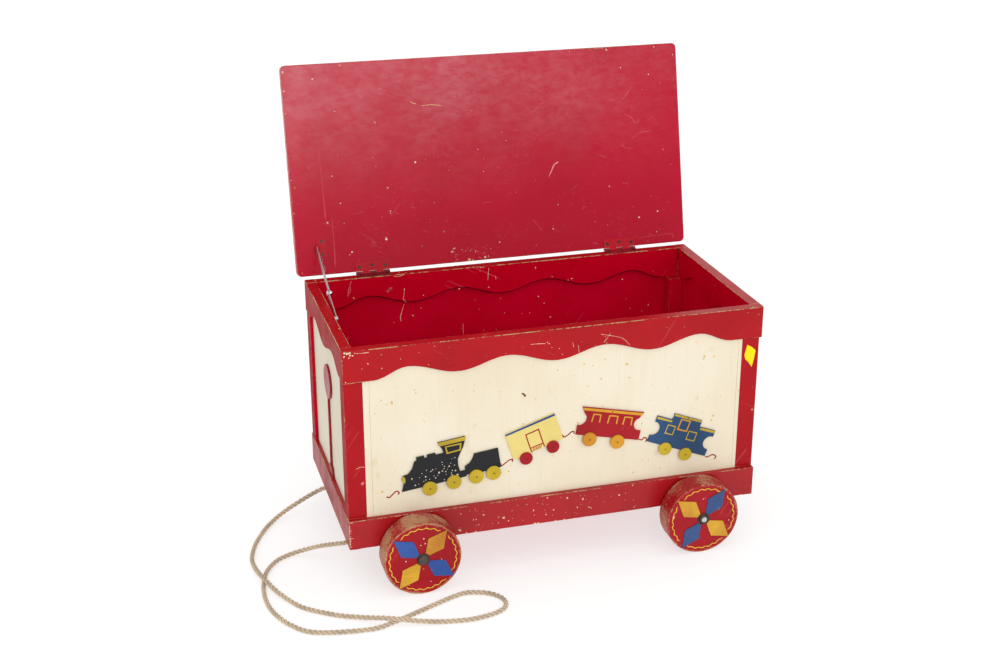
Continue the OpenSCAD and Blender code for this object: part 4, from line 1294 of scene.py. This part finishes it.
def scratched(lines, width, seed, matrix):
    parts = []
    for i, points in enumerate(lines):
        line = smooth_line([(x, y, 0) for x, y in points], 5)
        uneven = [(p.x, p.y, 0.35 + 1.3 * abs(noise.noise(Vector((k / 2.1, i, seed)))))
                  for k, p in enumerate(line)]
        uneven[0] = uneven[0][:2] + (0.15,)
        uneven[-1] = uneven[-1][:2] + (0.15,)
        parts.append(stroke(uneven, width, -0.05, 0.06))
    return moved(joined(parts), matrix)


def mark_lid():
    spots = [(224, 196, 2.2), (159, 59, 2.2), (93, 40, 2.2), (698, 66, 1.8), (52, 98, 1.3),
             (67, 182, 1.1), (401, 223, 0.9), (692, 329, 1.0), (636, 345, 0.9),
             (659, 57, 1.3), (496, 95, 1.1), (376, 34, 1.1), (694, 26, 1.1)]
    spots += scattered(38, (15, 15), (745, 365), 0.5, 1.1, 11)
    spots += scattered(20, (280, 8), (360, 30), 0.5, 1.5, 12)
    piece("lid_white_flecks", flakes(spots, 1, ON_LID_FACE), WHITE_SPOT, "lid")
    edge_spots = [(609, 380, 1.6), (706, 380, 1.2), (536, 381, 1.0), (97, 380, 1.0),
                  (315, 6, 2.4), (322, 4, 1.6), (346, 8, 2.2), (-7, 374, 1.4),
                  (-8, 340, 1.2), (-8, 300, 1.0), (-8, 180, 1.3), (-8, 120, 1.0)]
    piece("lid_edge_chips", flakes(edge_spots, 2, ON_LID_FACE), PRIMER, "lid")
    gouge = [[(243, 298), (262, 299), (282, 296)], [(222, 308), (228, 304), (234, 302)]]
    piece("lid_gouges", scratched(gouge, 2.0, 1, ON_LID_FACE), PRIMER, "lid")
    scuffs = [[(653, 210), (671, 220), (692, 220)],
              [(639, 256), (650, 252), (656, 246), (660, 237)],
              [(628, 202), (638, 193), (652, 191)], [(109, 75), (124, 66), (140, 52)],
              [(101, 109), (112, 111), (121, 114)],
              [(656, 17), (690, 19), (725, 19), (727, 11)],
              [(637, 284), (648, 297), (659, 308)]]
    rng = random.Random(5)
    for _ in range(18):
        x, y = rng.uniform(30, 700), rng.uniform(30, 350)
        a, run = rng.uniform(-0.9, 0.9), rng.uniform(8, 34)
        scuffs.append([(x, y), (x + run * 0.5 * math.cos(a), y + run * 0.5 * math.sin(a) + 1),
                       (x + run * math.cos(a), y + run * math.sin(a))])
    rubs = [[(481, 149), (488, 162), (493, 171), (502, 176)]]
    piece("lid_pale_rub", scratched(rubs, 2.6, 6, ON_LID_FACE), PALE_RUB, "lid")
    piece("lid_scuffs", scratched(scuffs, 0.7, 2, ON_LID_FACE), PALE_SCUFF, "lid")
    runs = [[(46, 241), (48, 170), (49, 100)], [(61, 109), (61, 60), (60, 15)]]
    piece("lid_drips", scratched(runs, 3.2, 3, ON_LID_FACE), DRIP, "lid")


def mark_inside():
    back = on_front(BACK - BOARD_T)
    dots = [(87, 404, 1.6), (219, 396, 0.9), (288, 402, 1.3), (346, 399, 1.1),
            (438, 429, 1.2), (472, 408, 0.8), (511, 400, 1.2), (504, 398, 0.9)]
    lines = [[(184, 441), (174, 438), (163, 439)], [(328, 440), (338, 440)],
             [(346, 438), (345, 426), (344, 413)], [(359, 421), (360, 413)],
             [(183, 414), (182, 401), (180, 393)], [(180, 393), (186, 385)]]
    piece("back_rail_flecks", flakes(dots, 3, back), PRIMER)
    piece("back_rail_scratches", scratched(lines, 1.5, 4, back), PRIMER)
    scuffs = [[(84, 438), (81, 430), (78, 420), (76, 407)],
              [(80, 432), (82, 422), (79, 412)], [(148, 411), (156, 414), (160, 418)],
              [(152, 408), (155, 417), (158, 412)]]
    piece("back_rail_scuffs", scratched(scuffs, 2.6, 5, back), PALE_SCUFF)
    # A dark line down the inside back right corner.
    corner_line = [[(728.2, 441.5), (728.0, 420), (727.9, 390)]]
    piece("corner_dark_line", scratched(corner_line, 2.6, 9, back), DARK_CORNER_LINE)
    inner = on_front(span("panel_back")[0].y)
    dots = [(200, 354, 1.4), (163, 344, 0.8), (216, 368, 0.8), (447, 367, 1.1),
            (459, 352, 1.0), (430, 335, 0.9), (472, 322, 1.4), (379, 341, 0.8),
            (618, 385, 1.2), (674, 326, 1.4)]
    lines = [[(184, 380), (178, 362), (176, 354), (177, 345)], [(297, 329), (298, 303)]]
    piece("back_panel_flecks", flakes(dots, 6, inner), PRIMER)
    piece("back_panel_scratches", scratched(lines, 1.4, 6, inner), PRIMER)


def mark_front():
    face = on_front(FRONT)
    corner = [(5, 439.5, 2.2), (9, 438.5, 2.4), (13, 439, 1.8), (4, 433.5, 1.6),
              (14, 435, 1.6), (18, 434, 1.2), (12, 430.5, 0.9), (22, 438, 1.0)]
    spots = [(351, 420, 1.1), (354, 417, 1.0), (378, 395, 0.9), (43, 417, 0.9),
             (66, 406, 1.2), (33, 409, 0.9), (5, 388, 1.1)]
    spots += scattered(20, (8, 402), (740, 438), 0.35, 0.8, 21)
    piece("front_rail_chips", flakes(corner + spots, 7, face), PRIMER)
    lines = [[(446, 424), (462, 420), (479, 415), (490, 409), (500, 397)],
             [(452, 408), (458, 416), (464, 424.5)], [(396, 415), (398, 405)],
             [(406, 409), (408, 391)], [(321, 419.5), (335, 419), (348, 418)],
             [(24, 437), (34, 436.5), (46, 437)]]
    piece("front_rail_scratches", scratched(lines, 1.1, 7, face), PRIMER)
    base = slid((BASE_LOW.x, BASE_LOW.y, 0)) @ TO_FRONT
    ticks = [[(0.5, 131), (8, 131)], [(0.5, 116), (4.5, 116)], [(0.5, 111), (3, 111)],
             [(0.5, 105), (3, 105)], [(0.5, 101), (7.5, 101)], [(0.5, 96), (3.5, 96)],
             [(0.5, 85.5), (4, 85.5)], [(0.8, 128), (1, 120), (0.8, 112)],
             [(0.8, 104), (1, 96), (0.8, 88)]]
    piece("base_corner_ticks", scratched(ticks, 1.5, 8, base), PRIMER)
    spots = scattered(64, (150, 84), (520, 130), 0.5, 1.9, 31)
    spots += [(205, 81, 2.0), (222, 81, 1.8), (330, 80.5, 2.0), (336, 80.5, 1.6),
              (368, 80.5, 1.6), (384, 80.5, 1.6)]
    piece("base_chips", flakes(spots, 9, base), PRIMER)
    post = on_front(span("post_front_left")[0].y)
    lines = [[(17, 226), (21.5, 228), (26.5, 229), (33, 227.5)]]
    piece("post_scratch", scratched(lines, 1.2, 10, post), PRIMER)
    piece("post_ghost_spot", flakes([(28, 198, 3.0)], 10, post), PALE_SCUFF)


def mark_panel():
    face = ON_PANEL
    stains = [(64, 173, 2.2), (87, 210, 1.0), (82, 203, 0.9), (78, 186, 1.0), (56, 231, 1.0)]
    stains += scattered(100, (40, 140), (715, 375), 0.7, 2.3, 41)
    bm = flakes(stains, 11, face)
    piece("panel_brown_stains", bm, BROWN_STAIN, "chest")
    knot = flakes([(313, 323.5, 2.2), (316.2, 320.6, 2.4), (310.6, 325, 0.9)], 12, face)
    piece("panel_dark_knot", knot, KNOT_BROWN, "chest")
    low, high = span("post_front_left")[1].x - LEFT, span("post_front_right")[0].x - LEFT
    edges = [[(low + 5.0, 134), (low + 5.2, 220), (low + 4.8, 300), (low + 5.0, 384)],
             [(high - 0.5, 134), (high - 0.6, 240), (high - 0.5, 384)]]
    lines = scratched(edges, 0.9, 13, on_front(PANEL_FACE))
    piece("panel_edge_lines", lines, EDGE_LINE, "chest")


def mark_engine():
    rng = random.Random(17)
    spots = []
    while len(spots) < 40:
        x, y = rng.uniform(-30, 52), rng.uniform(8, 54)
        clear = all(math.hypot(x - s[0], y - s[1]) > 4.0 for s in spots)
        if y < 36 + 0.3 * x and clear:
            spots.append((x, y, 0.7 + 1.3 * rng.random() ** 2))
    raised = on_panel(*CARS["engine"]) @ slid((0, 0, CAR_T + 0.05))
    piece("engine_chips", flakes(spots, 14, raised, 1.15), WHITE_SPOT, "chest")


def mark_wheels():
    for i, corner in enumerate(CORNERS):
        rng = random.Random(50 + i)
        spots = []
        for _ in range(16):
            a, r = rng.uniform(0, math.tau), rng.uniform(18, 63)
            away = min(abs((math.degrees(a) - FIRST_DIAMOND - 90 * k + 180) % 360 - 180)
                       for k in range(4))
            if away > 24:
                spots.append((r * math.cos(a), r * math.sin(a), rng.uniform(0.5, 1.3)))
        chips = flakes(spots, 20 + i, wheel_face(corner))
        piece("chips_" + corner, chips, WHITE_SPOT, "wheel_" + corner)


def add_sticker():
    """A blank lot sticker on the front right post."""
    y = span("post_front_right")[0].y
    points = [(722.6, 371.2), (731, 366.6), (739, 359.4), (736.9, 343.6), (733.3, 328),
              (726, 338.6), (720.3, 344.1), (718, 352)]
    bm = prism([(x, z) for x, z in reversed(points)], 0.0, 0.25)
    piece("blank_sticker", moved(bm, on_front(y + 0.02)), STICKER, "chest")


add_camera()
add_studio()
add_rope()
add_rails()
add_wave_shade()
add_posts()
add_panels()
add_base_floor_and_lid()
add_wheels()
add_train()
add_hooks()
add_hinges_and_screws()
add_stay()
add_brake()
add_running_gear()
add_sticker()
mark_lid()
mark_inside()
mark_front()
mark_panel()
mark_engine()
mark_wheels()
